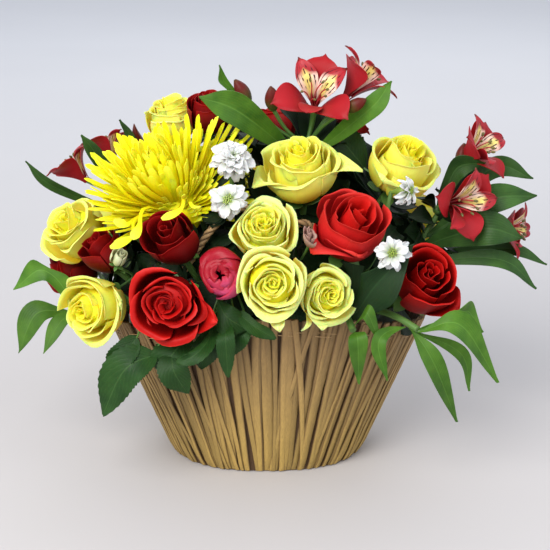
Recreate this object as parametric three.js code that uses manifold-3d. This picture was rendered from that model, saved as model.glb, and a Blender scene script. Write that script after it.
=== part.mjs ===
// A bag-shaped basket of upright paper strips with two cord handles, filled with cut flowers:
// roses, spray roses, a spider chrysanthemum, alstroemeria, small white daisies and leafy stems,
// all standing in a block of floral foam inside a plastic liner.
// Millimetres, +Z up. The origin is the middle of the basket's foot, +X is right and -Y the front.

import * as THREE from "three";
import { mergeVertices } from "three/addons/utils/BufferGeometryUtils.js";
import Module from "manifold-3d";

const wasm = await Module();
wasm.setup();

// Driving dimensions of the basket
const FOOT_HALF_X = 69;
const FOOT_HALF_Y = 57;
const FLARE_X = 0.42; // growth of the half width per millimetre of height
const FLARE_Y = 0.2;
const SQUARENESS = 2.35; // exponent of the oval, where 2 is an ellipse
const RIM_HIGH = 121; // at the front and back
const RIM_LOW = 101; // at the two ends
const WALL = 3.6;
const STRIPS = 60; // paper strips round the wall
const STRIP_RELIEF = 1.5;
const FOOT_ROUND = 1.4; // how far the foot's edge is set in
const STRIP_LEAN = 0.006; // how far a strip's ends lean, in turns round the wall
const BOARD = 4.5; // thickness of the foot board
const FIT = 0.35; // gap between two pieces that touch

// Driving dimensions of what the basket holds
const LINER_INSET = 8; // from the wall's inner face to the liner, where the handle ends go
const LINER_THICK = 1.2;
const LINER_HIGH = 96;
const FOAM_HALF_X = 80;
const FOAM_HALF_Y = 54;
const FOAM_HIGH = 119;
const FOAM_SHOULDER = 98; // where the foam's corners begin to round over
const CORD_RADIUS = 3; // of a handle
const HANDLE_HALF_SPAN = 64;
const HANDLE_SHIFT = 5; // of its top to the right
const HANDLE_APEX = 190;
const HANDLE_FOOT = 78;
const HANDLE_LEAN = 25; // how far a handle's top leans in over the flowers
const STEM_CORE = new THREE.Vector3(0, 0, 76); // the stems point at this place in the foam
const STEM_START = new THREE.Vector3(44, 26, 20); // half sizes of the egg on which they end
const ROSE_STEM = 2.3; // radius
const THIN_STEM = 1.5;
const LEAF_STALK = 0.9;
const PETAL_THICK = 0.9;
const LEAF_THICK = 0.8;
const CLEAR = 1.5; // room kept round a bloom by what bends past it
const HUB = 4; // radius of the knot where the flower stalks of an umbel meet
const STEM_ROOM = 2; // room between two stems
const BASE = 0.86; // a bloom's foot lies this share of its radius below its middle
const CUP = 0.22; // depth of the green cup below it, as a share of the radius

const finish = (color, roughness) => new THREE.MeshStandardMaterial({ color, roughness, metalness: 0 });
const paper = finish(0xb08d52, 0.85);
const board = finish(0x9a7a45, 0.9);
const film = finish(0xcfd6cf, 0.35);
const foamGreen = finish(0x3f6b3c, 0.95);
const cord = finish(0xa6763f, 0.8);
const redPetal = finish(0xb3121a, 0.55);
const yellowPetal = finish(0xf3e04a, 0.55);
const lemonPetal = finish(0xf1efb4, 0.55);
const pinkPetal = finish(0xd23a55, 0.5);
const mumPetal = finish(0xf8dc0a, 0.6);
const whitePetal = finish(0xf6f4f2, 0.6);
const lilyPetal = finish(0xb8242f, 0.5);
const green = finish(0x2f6a2a, 0.55);

// Where each bloom is: `at` is its middle, `face` the way it looks, `r` its radius, `open` how far
// it has opened. The roses after the first list are each a single piece with its own stem.
const ROSES_ON_CUPS = [
  { name: "rose_yellow_1", at: [-132, -25, 167], face: [-0.55, -0.5, 0.6], r: 27.5, open: 0.9, spin: 0.3 },
  { name: "rose_yellow_2", at: [-116, -61, 123], face: [-0.45, -0.8, 0.05], r: 26.5, open: 0.8, spin: 1.1 },
  { name: "rose_yellow_3", at: [22, -35, 213], face: [-0.1, -0.35, 0.93], r: 29.5, open: 0.9, spin: 0.5 },
  { name: "rose_yellow_4", at: [92, -10, 208], face: [0.35, -0.4, 0.8], r: 27.5, open: 0.7, spin: 0 },
  { name: "rose_red_1", at: [-63, -97, 139], face: [-0.1, -0.95, 0.15], r: 29.5, open: 1, spin: 0.2 },
  { name: "rose_red_2", at: [-61, -75, 174], face: [-0.3, -0.55, 0.75], r: 21, open: 0.3, spin: 0.9 },
  { name: "rose_red_3", at: [-109, -45, 156], face: [-0.5, -0.3, 0.8], r: 18.5, open: 0.1, spin: 0.4 },
  { name: "rose_red_5", at: [54, -68, 182], face: [0.25, -0.5, 0.8], r: 29.5, open: 0.5, spin: 0.1 },
  { name: "rose_red_6", at: [104, -62, 142], face: [0.3, -0.7, 0.6], r: 27.5, open: 0.6, spin: 1 },
];
const ROSES_IN_ONE = [
  { name: "rose_yellow_5", at: [-66, 30, 232], face: [-0.1, -0.1, 0.95], r: 22, open: 0.8, spin: 0.7 },
  { name: "rose_red_4", at: [-137, -3, 128], face: [-0.8, -0.4, -0.1], r: 22, open: 0.5, spin: 1.3 },
  { name: "rose_red_7", at: [-40, 12, 239], face: [0, -0.2, 0.95], r: 18.5, open: 0.3, spin: 0.6 },
  { name: "rose_red_8", at: [62, 74, 176], face: [0.35, 0.75, 0.55], r: 28.5, open: 0.8, spin: 0.2 },
  { name: "rose_red_9", at: [-58, 80, 166], face: [-0.35, 0.8, 0.4], r: 27.5, open: 0.9, spin: 0.8 },
  { name: "rose_red_10", at: [12, 46, 222], face: [0.1, 0.35, 0.92], r: 25.5, open: 0.6, spin: 0.5 },
  { name: "rose_yellow_6", at: [2, 92, 158], face: [0, 0.95, 0.3], r: 28.5, open: 0.9, spin: 1.2 },
  { name: "rose_yellow_7", at: [112, 48, 146], face: [0.7, 0.6, 0.3], r: 26.5, open: 0.7, spin: 0.9 },
  { name: "rose_yellow_8", at: [-112, 62, 142], face: [-0.7, 0.6, 0.3], r: 25.5, open: 0.8, spin: 0.1 },
];
const ROSES = [...ROSES_ON_CUPS, ...ROSES_IN_ONE.map((bloom) => ({ ...bloom, one: true }))];

const SPRAY_ROSES = [
  { name: "spray_rose_1", at: [-2, -75, 181], face: [0, -0.75, 0.65], r: 25.5, open: 0.95, spin: 0.4 },
  { name: "spray_rose_2", at: [4, -106, 154], face: [0, -0.97, 0.2], r: 27.5, open: 1, spin: 0.9 },
  { name: "spray_rose_3", at: [38, -94, 144], face: [0.3, -0.9, 0.2], r: 22, open: 0.9, spin: 0 },
];

const PINK_BLOOM = { name: "pink_bloom", at: [-28, -90, 156], face: [-0.15, -0.95, 0.2], r: 17.5, spin: 0.2 };

const DAISIES = [
  { name: "daisy_1", at: [-22, -50, 221], face: [0.1, -0.8, 0.6], r: 17.5, spin: 0 },
  { name: "daisy_2", at: [-24, -72, 200], face: [-0.1, -0.9, 0.35], r: 16.5, spin: 0.3 },
  { name: "daisy_3", at: [80, -90, 170], face: [0.05, -0.85, 0.3], r: 14.5, spin: 0.6 },
  { name: "daisy_4", at: [93, -50, 200], face: [0.85, -0.4, 0.2], r: 12, spin: 0.9 },
];

const MUM = { name: "chrysanthemum", at: [-59, -35, 181], face: [-0.345, -0.309, 0.886], r: 64 };

// Alstroemeria: an umbel's hub, where its flower stalks meet, then its open flowers and its buds
const UMBELS = [
  {
    name: "alstroemeria_top",
    hub: [26, 6, 216],
    florets: [
      { at: [34, -8, 258], face: [0, -0.75, 0.6], r: 27 },
      { at: [66, 4, 264], face: [0.65, 0.1, 0.7], r: 25 },
      { at: [56, 16, 228], face: [0.5, 0.35, 0.6], r: 18 },
    ],
    buds: [
      { at: [-16, 0, 254], face: [-0.5, -0.1, 0.85], r: 6.5 },
      { at: [4, -6, 250], face: [-0.1, -0.3, 0.9], r: 6.5 },
      { at: [58, -14, 248], face: [0.8, -0.2, 0.5], r: 6 },
    ],
  },
  {
    name: "alstroemeria_right",
    hub: [118, 2, 172],
    florets: [
      { at: [147, 8, 214], face: [0.7, -0.35, 0.55], r: 24 },
      { at: [131, -32, 186], face: [0.5, -0.8, 0.15], r: 25 },
      { at: [173, 0, 158], face: [0.9, -0.3, 0.1], r: 20 },
    ],
    buds: [{ at: [134, 14, 206], face: [0.2, 0.1, 0.9], r: 6 }],
  },
  {
    name: "alstroemeria_left",
    hub: [-102, 40, 176],
    florets: [
      { at: [-137, 34, 196], face: [-0.6, 0.15, 0.7], r: 20 },
      { at: [-114, 50, 206], face: [-0.3, 0.4, 0.85], r: 19 },
    ],
    buds: [{ at: [-88, 30, 216], face: [0, -0.2, 0.95], r: 7 }],
  },
];

// Leaves by the stem they grow on. `from` is the leaf's share of the way up the stem, and `line` its
// middle and its tip. A toothed leaflet has a stalk first, and its line has the blade's root too.
const LEAVES = {
  alstroemeria_top_stem: [
    { from: 0.93, line: [[-18, -22, 246], [-44, -30, 258]], width: 22 },
    { from: 0.95, line: [[84, -10, 236], [90, -12, 266]], width: 14 },
    { from: 0.9, line: [[-24, 10, 246], [-32, 6, 272]], width: 9 },
  ],
  alstroemeria_right_stem: [
    { from: 0.97, line: [[128, 4, 200], [150, 0, 206]], width: 16 },
    { from: 0.93, line: [[158, 24, 196], [186, 18, 190]], width: 15 },
    { from: 0.8, line: [[150, -10, 182], [184, -12, 186]], width: 20 },
    { from: 0.72, line: [[146, -24, 166], [173, -26, 160]], width: 24 },
    { from: 0.64, line: [[165, 2, 144], [196, 2, 132]], width: 9 },
    { from: 0.58, line: [[158, -16, 142], [186, -18, 121]], width: 12 },
  ],
  alstroemeria_left_stem: [
    { from: 0.9, line: [[-118, 20, 206], [-128, 14, 222]], width: 11 },
    { from: 0.95, line: [[-92, 22, 214], [-101, 18, 232]], width: 10 },
    { from: 0.8, line: [[-148, 16, 184], [-167, 12, 204]], width: 7 },
  ],
  leafy_stem_left: [
    { from: 0.93, line: [[-147, -26, 140], [-173, -28, 124]], width: 17 },
    { from: 1, line: [[-157, -32, 108], [-170, -40, 82]], width: 19 },
    { from: 0.86, line: [[-140, -36, 104], [-152, -46, 84]], width: 12 },
  ],
  leafy_stem_right: [
    { from: 1, line: [[124, -96, 124], [152, -88, 80]], width: 17 },
    { from: 0.92, line: [[108, -98, 98], [126, -88, 52]], width: 14 },
    { from: 0.97, line: [[125, -72, 128], [143, -68, 108]], width: 12 },
    { from: 0.9, line: [[128, -76, 96], [135, -76, 69]], width: 10 },
    { from: 0.86, line: [[72, -104, 116], [78, -104, 88]], width: 10 },
  ],
  leafy_stem_centre: [
    { from: 0.8, line: [[80, -94, 146], [105, -92, 172]], width: 28 },
    { from: 0.92, line: [[62, -98, 134], [74, -100, 112]], width: 10 },
    { from: 1, line: [[58, -104, 116], [60, -100, 84]], width: 13 },
  ],
  rose_red_1_stem: [
    {
      from: 0.94,
      stalk: [[-66, -80, 114]],
      line: [[-72, -88, 102], [-92, -94, 92], [-108, -90, 58]],
      width: 30,
      teeth: 4,
    },
    {
      from: 0.94,
      stalk: [[-63, -80, 113]],
      line: [[-62, -88, 104], [-60, -96, 92], [-52, -92, 74]],
      width: 22,
      teeth: 4,
    },
  ],
  pink_bloom_stem: [
    {
      from: 0.9,
      stalk: [[-34, -78, 128]],
      line: [[-38, -88, 124], [-46, -104, 112], [-58, -106, 104]],
      width: 20,
      teeth: 4,
    },
    {
      from: 0.9,
      stalk: [[-30, -80, 128]],
      line: [[-29, -88, 124], [-27, -102, 116], [-25, -98, 88]],
      width: 15,
      teeth: 4,
    },
    {
      from: 0.9,
      stalk: [[-22, -80, 130]],
      line: [[-18, -88, 130], [-6, -98, 126], [6, -98, 116]],
      width: 14,
      teeth: 4,
    },
  ],
  leafy_stem_back: [
    { from: 0.9, line: [[-40, 104, 124], [-52, 108, 92]], width: 18 },
    { from: 1, line: [[-12, 108, 112], [-6, 106, 74]], width: 17 },
    { from: 0.8, line: [[24, 102, 124], [44, 104, 98]], width: 16 },
  ],
};

// The leafy stems pass through these places once they have left the foam.
const LEAFY_STEMS = {
  leafy_stem_left: [[-96, -18, 113], [-122, -24, 114], [-132, -26, 108]],
  leafy_stem_right: [[74, -52, 132], [88, -76, 128], [98, -90, 118]],
  leafy_stem_centre: [[46, -58, 130], [52, -78, 129], [56, -92, 118]],
  leafy_stem_back: [[-10, 66, 128], [-14, 84, 124], [-14, 92, 114]],
};

// Sprays: one stem that forks, with a branch to each of these blooms
const SPRAYS = {
  spray_rose_stem: { fork: [8, -52, 138], blooms: SPRAY_ROSES },
  daisy_stem_left: { fork: [-22, -34, 184], blooms: DAISIES.slice(0, 2) },
  daisy_stem_right: { fork: [76, -48, 162], blooms: DAISIES.slice(2) },
};

const vec = (p) => (p.isVector3 ? p.clone() : new THREE.Vector3(...p));
const unit = (p) => vec(p).normalize();
const mix = (a, b, t) => a + (b - a) * t;
const UP = new THREE.Vector3(0, 0, 1);

// The triangles without those that have shrunk to a line where points coincide
function soundFaces(index) {
  const kept = [];
  for (let k = 0; k < index.length; k += 3) {
    const [a, b, c] = index.slice(k, k + 3);
    if (a !== b && b !== c && c !== a) kept.push(a, b, c);
  }
  return new Uint32Array(kept);
}

// A closed geometry as a solid, turned outwards if its faces point in.
function solid(geometry) {
  const bare = geometry.index ? geometry.toNonIndexed() : geometry.clone();
  const only = new THREE.BufferGeometry().setAttribute("position", bare.getAttribute("position"));
  const merged = mergeVertices(only, 1e-4);
  const triVerts = soundFaces(merged.index.array);
  const vertProperties = merged.attributes.position.array;
  const corner = (k) => new THREE.Vector3().fromArray(vertProperties, 3 * triVerts[k]);
  let volume = 0;
  for (let k = 0; k < triVerts.length; k += 3) volume += corner(k).dot(corner(k + 1).cross(corner(k + 2)));
  if (volume < 0) for (let k = 0; k < triVerts.length; k += 3) triVerts.subarray(k, k + 2).reverse();
  return new wasm.Manifold(new wasm.Mesh({ numProp: 3, vertProperties, triVerts }));
}

function solidOf(corners, index) {
  const position = new Float32Array(corners.flatMap((p) => p.toArray()));
  const geometry = new THREE.BufferGeometry().setIndex(index);
  return solid(geometry.setAttribute("position", new THREE.BufferAttribute(position, 3)));
}

// The largest outer body: sealed hollows are filled and loose scraps are dropped.
const whole = (made) => made.decompose().reduce((best, one) => (one.volume() > best.volume() ? one : best));

function geometryOf(made) {
  const { vertProperties, triVerts, numProp, numVert } = made.getMesh();
  const position = new Float32Array(numVert * 3);
  for (let i = 0; i < numVert; i++) {
    const from = i * numProp;
    position.set(vertProperties.subarray(from, from + 3), i * 3);
  }
  return new THREE.BufferGeometry()
    .setAttribute("position", new THREE.BufferAttribute(position, 3))
    .setIndex(new THREE.BufferAttribute(triVerts, 1));
}

// A closed blade of even thickness, or larger all round by `grow`.
// sheet(u, v) is its middle, for u from -1 to 1 across it and v from 0 to 1 along it.
function blade(sheet, across, along, thick, grow = 0) {
  const step = 1e-3;
  const columns = across + 1;
  const faces = [[], []];
  for (let j = 0; j <= along; j++)
    for (let i = 0; i <= across; i++) {
      const u = -1 + (2 * i) / across;
      const v = j / along;
      const p = sheet(u, v);
      const du = sheet(Math.min(1, u + step), v).sub(sheet(Math.max(-1, u - step), v)).normalize();
      const dv = sheet(u, Math.min(1, v + step)).sub(sheet(u, Math.max(0, v - step))).normalize();
      const n = du.clone().cross(dv).normalize().multiplyScalar(thick / 2 + grow);
      if (i === 0 || i === across) p.addScaledVector(du, grow * Math.sign(u));
      if (j === 0 || j === along) p.addScaledVector(dv, grow * (j ? 1 : -1));
      faces[0].push(p.clone().add(n));
      faces[1].push(p.sub(n));
    }
  const back = faces[0].length;
  const index = [];
  for (let j = 0; j < along; j++)
    for (let i = 0; i < across; i++) {
      const a = j * columns + i;
      const b = a + 1;
      const c = b + columns;
      const d = a + columns;
      index.push(a, b, c, a, c, d);
      index.push(back + a, back + c, back + b, back + a, back + d, back + c);
    }
  const rim = [];
  for (let i = 0; i < across; i++) rim.push(i);
  for (let j = 0; j < along; j++) rim.push(j * columns + across);
  for (let i = across; i > 0; i--) rim.push(along * columns + i);
  for (let j = along; j > 0; j--) rim.push(j * columns);
  rim.forEach((a, k) => {
    const b = rim[(k + 1) % rim.length];
    index.push(b, a, back + a, b, back + a, back + b);
  });
  return solidOf(faces.flat(), index);
}

// A round bar along a curve through these points, closed at both ends.
function bar(points, radius, sides, steps) {
  const ring = [...Array(sides)].map((_, k) => {
    const a = (2 * Math.PI * k) / sides;
    return new THREE.Vector2(radius * Math.cos(a), radius * Math.sin(a));
  });
  const extrudePath = new THREE.CatmullRomCurve3(points.map(vec), false, "centripetal");
  return solid(new THREE.ExtrudeGeometry(new THREE.Shape(ring), { steps, bevelEnabled: false, extrudePath }));
}

const ball = (at, radius, wide = 6, high = 4) =>
  solid(new THREE.SphereGeometry(radius, wide, high).translate(...vec(at).toArray()));

// A point of the oval at turn t, from +X towards the back, with these half sizes
function oval(t, halfX, halfY) {
  const a = 2 * Math.PI * t;
  const c = Math.cos(a);
  const s = Math.sin(a);
  const r = (Math.abs(c) ** SQUARENESS + Math.abs(s) ** SQUARENESS) ** (-1 / SQUARENESS);
  return new THREE.Vector2(halfX * r * c, halfY * r * s);
}

const wallHalfX = (z) => FOOT_HALF_X + FLARE_X * z;
const wallHalfY = (z) => FOOT_HALF_Y + FLARE_Y * z;
const rimHeight = (t) => mix(RIM_LOW, RIM_HIGH, Math.sin(2 * Math.PI * t) ** 2);

// The faces between each ring of points and the next, all with equally many points
function bands(rings) {
  const count = rings[0].length;
  const index = [];
  for (let j = 0; j + 1 < rings.length; j++)
    for (let i = 0; i < count; i++) {
      const a = j * count + i;
      const b = j * count + ((i + 1) % count);
      index.push(a, b, b + count, a, b + count, a + count);
    }
  return index;
}

// A closed block through rings of points, with a fan over each end
function loft(rings) {
  const count = rings[0].length;
  const corners = rings.flat();
  const index = bands(rings);
  for (const j of [0, rings.length - 1]) {
    const middle = rings[j].reduce((sum, p) => sum.add(p), new THREE.Vector3()).divideScalar(count);
    const hub = corners.push(middle) - 1;
    for (let i = 0; i < count; i++) {
      const a = j * count + i;
      const b = j * count + ((i + 1) % count);
      index.push(hub, j ? a : b, j ? b : a);
    }
  }
  return solidOf(corners, index);
}

// A level ring at height z, set in from the wall's outer face
const levelRing = (count, z, inset) =>
  [...Array(count)].map((_, i) => {
    const p = oval(i / count, wallHalfX(z) - inset, wallHalfY(z) - inset);
    return new THREE.Vector3(p.x, p.y, z);
  });

// The wall: every strip is a ridge, and its foot and top lean to one side or the other. The rings
// go up the outside and down the inside, where the strips lie flat.
function basketWall() {
  const ring = (h, inset, flat) =>
    [...Array(2 * STRIPS)].map((_, i) => {
      const valley = i % 2;
      const t = (flat ? i - valley : i) / (2 * STRIPS);
      const z = h * rimHeight(t);
      const lean = flat ? 0 : STRIP_LEAN * (2 * h - 1) * Math.sin(Math.floor(i / 2) * 0.9);
      const depth = inset + (valley && !flat ? STRIP_RELIEF : 0);
      const p = oval(t + lean, wallHalfX(z) - depth, wallHalfY(z) - depth);
      return new THREE.Vector3(p.x, p.y, z);
    });
  const outside = [ring(0, FOOT_ROUND, false), ring(0.05, 0, false), ring(1, 0, false)];
  const rings = [...outside, ring(1, WALL, true), ring(0, WALL, true)];
  return solidOf(rings.flat(), bands([...rings, rings[0]]).map((k) => k % rings.flat().length));
}

const footBoard = () => loft([0, BOARD].map((z) => levelRing(28, z, WALL + FIT)));

// The liner is a deep dish that stands on the board.
function linerDish() {
  const floor = BOARD + FIT;
  const inset = WALL + LINER_INSET;
  const between = (low, high, depth) => loft([low, high].map((z) => levelRing(24, z, depth)));
  const outside = between(floor, LINER_HIGH, inset);
  return outside.subtract(between(floor + LINER_THICK, LINER_HIGH + 5, inset + LINER_THICK));
}

// The foam has sloping sides up to its shoulder, then a rounded top.
function foamBlock() {
  const foot = BOARD + LINER_THICK + 2 * FIT;
  const rings = [
    [foot, 0.66],
    [FOAM_SHOULDER, 1],
    [mix(FOAM_SHOULDER, FOAM_HIGH, 0.65), 0.88],
    [FOAM_HIGH, 0.6],
  ];
  return loft(
    rings.map(([z, size]) =>
      [...Array(18)].map((_, i) => {
        const p = oval(i / 18, FOAM_HALF_X * size, FOAM_HALF_Y * size);
        return new THREE.Vector3(p.x, p.y, z);
      }),
    ),
  );
}

// How far from the middle a cord lies at x, against the wall's inner face at height z
function handleDepth(x, z) {
  const across = Math.abs(x) / (wallHalfX(z) - WALL);
  return (wallHalfY(z) - WALL) * (1 - across ** SQUARENESS) ** (1 / SQUARENESS) - CORD_RADIUS - 4 * FIT;
}

// A handle's line, at the front for side -1: its ends go down inside the wall.
function handleLine(side) {
  const top = 104;
  const steps = 14;
  const foot = (x) => new THREE.Vector3(x, side * handleDepth(x, HANDLE_FOOT), HANDLE_FOOT);
  const arch = [...Array(steps + 1)].map((_, k) => {
    const a = (Math.PI * k) / steps;
    const rise = Math.sin(a) ** 0.85;
    const x = HANDLE_SHIFT * rise - HANDLE_HALF_SPAN * Math.cos(a);
    const y = side * (handleDepth(x, top) - HANDLE_LEAN * rise ** 2);
    const p = new THREE.Vector3(x, y, mix(top, HANDLE_APEX, rise));
    for (const bloom of HEADS) {
      const away = p.clone().sub(footOf(bloom));
      const keep = CORD_RADIUS + 0.26 * bloom.r;
      if (away.length() < keep) p.addScaledVector(away.normalize(), keep - away.length());
    }
    return bendClear(p, [], CLEAR + CORD_RADIUS);
  });
  return [foot(-HANDLE_HALF_SPAN), ...arch, foot(HANDLE_HALF_SPAN)];
}

// The blooms that keep their shape, as balls. Everything softer bends round them.
const HEADS = [...ROSES, ...SPRAY_ROSES, PINK_BLOOM, ...DAISIES];
const BALLS = HEADS.map(({ name, at, r }) => ({ name, at: vec(at), r }));

// Two blooms that crowd each other flatten along the plane between them, as petals do.
function flatten(p, own) {
  for (const other of BALLS) {
    const n = other.at.clone().sub(own.at);
    const gap = n.length();
    if (other.name === own.name || gap > own.r + other.r + CLEAR) continue;
    n.divideScalar(gap);
    const limit = ((gap - CLEAR) * own.r) / (own.r + other.r);
    const start = 0.55 * limit;
    const reach = p.clone().sub(own.at).dot(n);
    if (reach <= start) continue;
    p.addScaledVector(n, start + (limit - start) * Math.tanh((reach - start) / (limit - start)) - reach);
  }
  return p;
}

// Bends a point round the ball of every bloom except those named.
function bendClear(p, except, room) {
  const sharpness = 6;
  for (const { name, at, r } of [...BALLS, ...BALLS]) {
    const away = p.clone().sub(at);
    const rho = away.length();
    const keep = r + room;
    if (except.includes(name) || rho > 2 * keep) continue;
    p.copy(at).addScaledVector(away, (rho ** sharpness + keep ** sharpness) ** (1 / sharpness) / rho);
  }
  return p;
}

// The axes of a bloom that looks along `face`, turned about it by `spin`
function axesOf({ face, spin = 0 }) {
  const z = unit(face);
  const x = UP.clone().cross(z).normalize();
  const looking = new THREE.Matrix4().makeBasis(x, z.clone().cross(x), z);
  return looking.multiply(new THREE.Matrix4().makeRotationZ(spin));
}

const out = (bloom, share) => vec(bloom.at).addScaledVector(unit(bloom.face), share * bloom.r);

// A point of a bloom's own shape put in its place: turned, sized and, where it is crowded, flattened
// Its foot keeps its shape.
function settle(p, bloom) {
  const own = { name: bloom.name, at: vec(bloom.at), r: bloom.r };
  const soft = THREE.MathUtils.smoothstep(Math.hypot(p.x, p.y, p.z + BASE), 0.25, 0.6);
  p.multiplyScalar(Math.min(1, 0.96 / p.length()) * bloom.r).applyMatrix4(axesOf(bloom)).add(own.at);
  return p.lerp(flatten(p.clone(), own), soft);
}
const inPlace = (sheet, bloom) => (u, v) => settle(sheet(u, v), bloom);

// The folded surface of a bloom with whorls of petals: rings from its heart, over the lips of the
// petals and down into the folds between them, to its foot. `petals` is how many share a ring.
// Towards its edges each petal is lower by `dip` and shorter by the share `gap`, and with `skew`
// one edge lies over the next petal.
function whorls(bloom, points, rings) {
  return loft(
    rings.map(({ r, z, petals = 0, dip = 0, gap = 0, skew = 0.12, twist = 0 }) =>
      [...Array(points)].map((_, i) => {
        const place = petals ? ((i * petals) / points) % 1 : 0.4;
        const edge = petals ? 1 - Math.sin(Math.PI * (place + skew)) ** 2 : 0;
        const reach = r * (1 - gap * edge) + skew * (place - 0.4) * Math.min(1, 2 * r);
        const p = new THREE.Vector3(reach, 0, z - dip * edge);
        return settle(p.applyAxisAngle(UP, (2 * Math.PI * i) / points + twist), bloom);
      }),
    ),
  );
}

// A turned body on the bloom's axis: its profile is in shares of the bloom's radius.
function turned(bloom, profile, sides, grow = 0) {
  const points = profile.map(([r, z]) => new THREE.Vector2(r ? r * bloom.r + grow : 0, z * bloom.r));
  const shape = new THREE.LatheGeometry(points, sides).rotateX(Math.PI / 2);
  return solid(shape.applyMatrix4(axesOf(bloom)).translate(...vec(bloom.at).toArray()));
}

// A rose: a bud at the heart, a whorl of three petals round it and an outer whorl of four or five
function roseHead(bloom) {
  const { open, one } = bloom;
  const petals = one || open < 0.4 ? 4 : 5;
  const inner = { petals: 3, dip: 0.2, gap: 0.12, twist: 0.6 };
  const outer = { petals, dip: 0.32, gap: 0.2 };
  return [
    whorls(bloom, 3 * petals, [
      { r: 0.12, z: mix(0.72, 0.5, open) },
      { r: 0.16, z: mix(0.5, 0.2, open), twist: 0.3 },
      { r: mix(0.33, 0.42, open), z: mix(0.66, 0.46, open), ...inner },
      { r: mix(0.42, 0.52, open), z: mix(0.2, -0.05, open) },
      { r: mix(0.6, 0.92, open), z: mix(0.52, 0.2, open), ...outer },
      { r: mix(0.68, 0.96, open), z: mix(0.48, 0.12, open), ...outer },
      { r: mix(0.76, 0.8, open), z: -0.38, petals },
      { r: 0.2, z: -BASE },
    ]),
  ];
}

// A bloom whose petals fold in over a dark hollow at the middle
function closedHead(bloom) {
  return [
    whorls(bloom, 15, [
      { r: 0.1, z: -0.1 },
      { r: 0.26, z: 0.44, petals: 5, dip: 0.12, gap: 0.08 },
      { r: 0.36, z: 0.5, petals: 5, dip: 0.12, gap: 0.08 },
      { r: 0.86, z: 0.28, petals: 5, dip: 0.08, gap: 0.05 },
      { r: 0.92, z: -0.3, petals: 5 },
      { r: 0.2, z: -BASE },
    ]),
  ];
}

// A small daisy: an outer and an inner whorl of petals round a button
function daisyHead(bloom) {
  const petals = { petals: 6, skew: 0 };
  return [
    whorls(bloom, 12, [
      { r: 0.12, z: 0.2 },
      { r: 0.2, z: 0.08 },
      { r: 0.7, z: 0.44, gap: 0.6, dip: 0.2, twist: 0.45, ...petals },
      { r: 0.72, z: 0.36, gap: 0.6, dip: 0.2, twist: 0.45, ...petals },
      { r: 0.34, z: -0.04 },
      { r: 0.96, z: 0.12, gap: 0.6, dip: 0.1, ...petals },
      { r: 0.96, z: 0.03, gap: 0.6, dip: 0.1, ...petals },
      { r: 0.18, z: -BASE },
    ]),
  ];
}

// The spider chrysanthemum: long narrow florets out of a small dome, the outer ones longest
function mumHead(grow) {
  const turn = axesOf(MUM);
  const golden = Math.PI * (3 - Math.sqrt(5));
  const count = 36;
  const florets = [...Array(count)].map((_, k) => {
    const share = (k + 0.5) / count;
    const lean = Math.acos(1 - 1.26 * share); // from the axis
    const long = MUM.r * mix(0.72, 1, Math.sin(Math.min(lean, Math.PI / 2)));
    const straight = (u, v) => {
      const bend = lean - 0.16 * (1 - share) * v * v; // the inner florets curve in
      const p = new THREE.Vector3(Math.sin(bend), 0, Math.cos(bend)).multiplyScalar(long * mix(0.14, 1, v));
      p.y += u * mix(1.6, 3.9, Math.sin(Math.PI * Math.min(1, 0.75 * v + 0.05)));
      return p.applyAxisAngle(UP, k * golden).applyMatrix4(turn).add(vec(MUM.at));
    };
    const sheet = (u, v) => bendClear(straight(u, v), [], 2 * CLEAR);
    const moved = Math.max(...[0.5, 0.75, 1].map((v) => straight(0, v).distanceTo(sheet(0, v))));
    return blade(sheet, 1, moved > 1 ? 4 : 1, 1.3, grow);
  });
  return [ball(MUM.at, 0.28 * MUM.r, 8, 6), ...florets];
}

// One open flower of alstroemeria: three broad petals and, between them, three narrower ones
function floret(bloom, spin, grow) {
  const placed = { ...bloom, spin };
  const turn = axesOf(placed);
  const petals = [...Array(6)].map((_, k) => {
    const broad = k % 2 === 0;
    const sheet = (u, v) => {
      const half = (broad ? 0.42 : 0.27) * Math.sin(Math.PI * mix(0.07, 0.94, v ** 1.3));
      const reach = 0.12 + (broad ? 0.9 : 0.78) * v * mix(0.3, 1, v);
      const high = (broad ? -0.76 : -0.6) + 0.9 * Math.sin(1.7 * v);
      const p = new THREE.Vector3(reach, half * u, high).applyAxisAngle(UP, (Math.PI * (k + 0.5)) / 3);
      return bendClear(p.multiplyScalar(bloom.r).applyMatrix4(turn).add(vec(bloom.at)), [], CLEAR);
    };
    return blade(sheet, 1, 2, PETAL_THICK, grow);
  });
  const throat = [
    [0, -0.88],
    [0.12, -0.84],
    [0.2, -0.5],
    [0, -0.46],
  ];
  return [turned(placed, throat, 5, grow), ...petals];
}

// An umbel: its hub, a stalk to every flower and bud, and these themselves
function umbelFlowers({ hub, florets, buds }, grow) {
  const bud = [
    [0, -1.2],
    [0.8, -0.6],
    [0.75, 0.4],
    [0, 1.7],
  ];
  const stalks = [...florets, ...buds].map((bloom) => {
    const foot = out(bloom, bloom.r > 8 ? -0.8 : -1);
    const far = vec(hub).distanceTo(foot);
    const knee = vec(hub).lerp(foot, 0.6).addScaledVector(unit(bloom.face), -0.15 * far);
    const line = [vec(hub), knee, foot].map((p) => bendClear(p, [], CLEAR + THIN_STEM));
    return bar(line, THIN_STEM + grow, 3, 2);
  });
  return [
    ball(hub, HUB + grow, 6, 4),
    ...stalks,
    ...florets.flatMap((bloom, k) => floret(bloom, 0.5 * k, grow)),
    ...buds.map((bloom) => turned(bloom, bud, 5, grow)),
  ];
}

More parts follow.
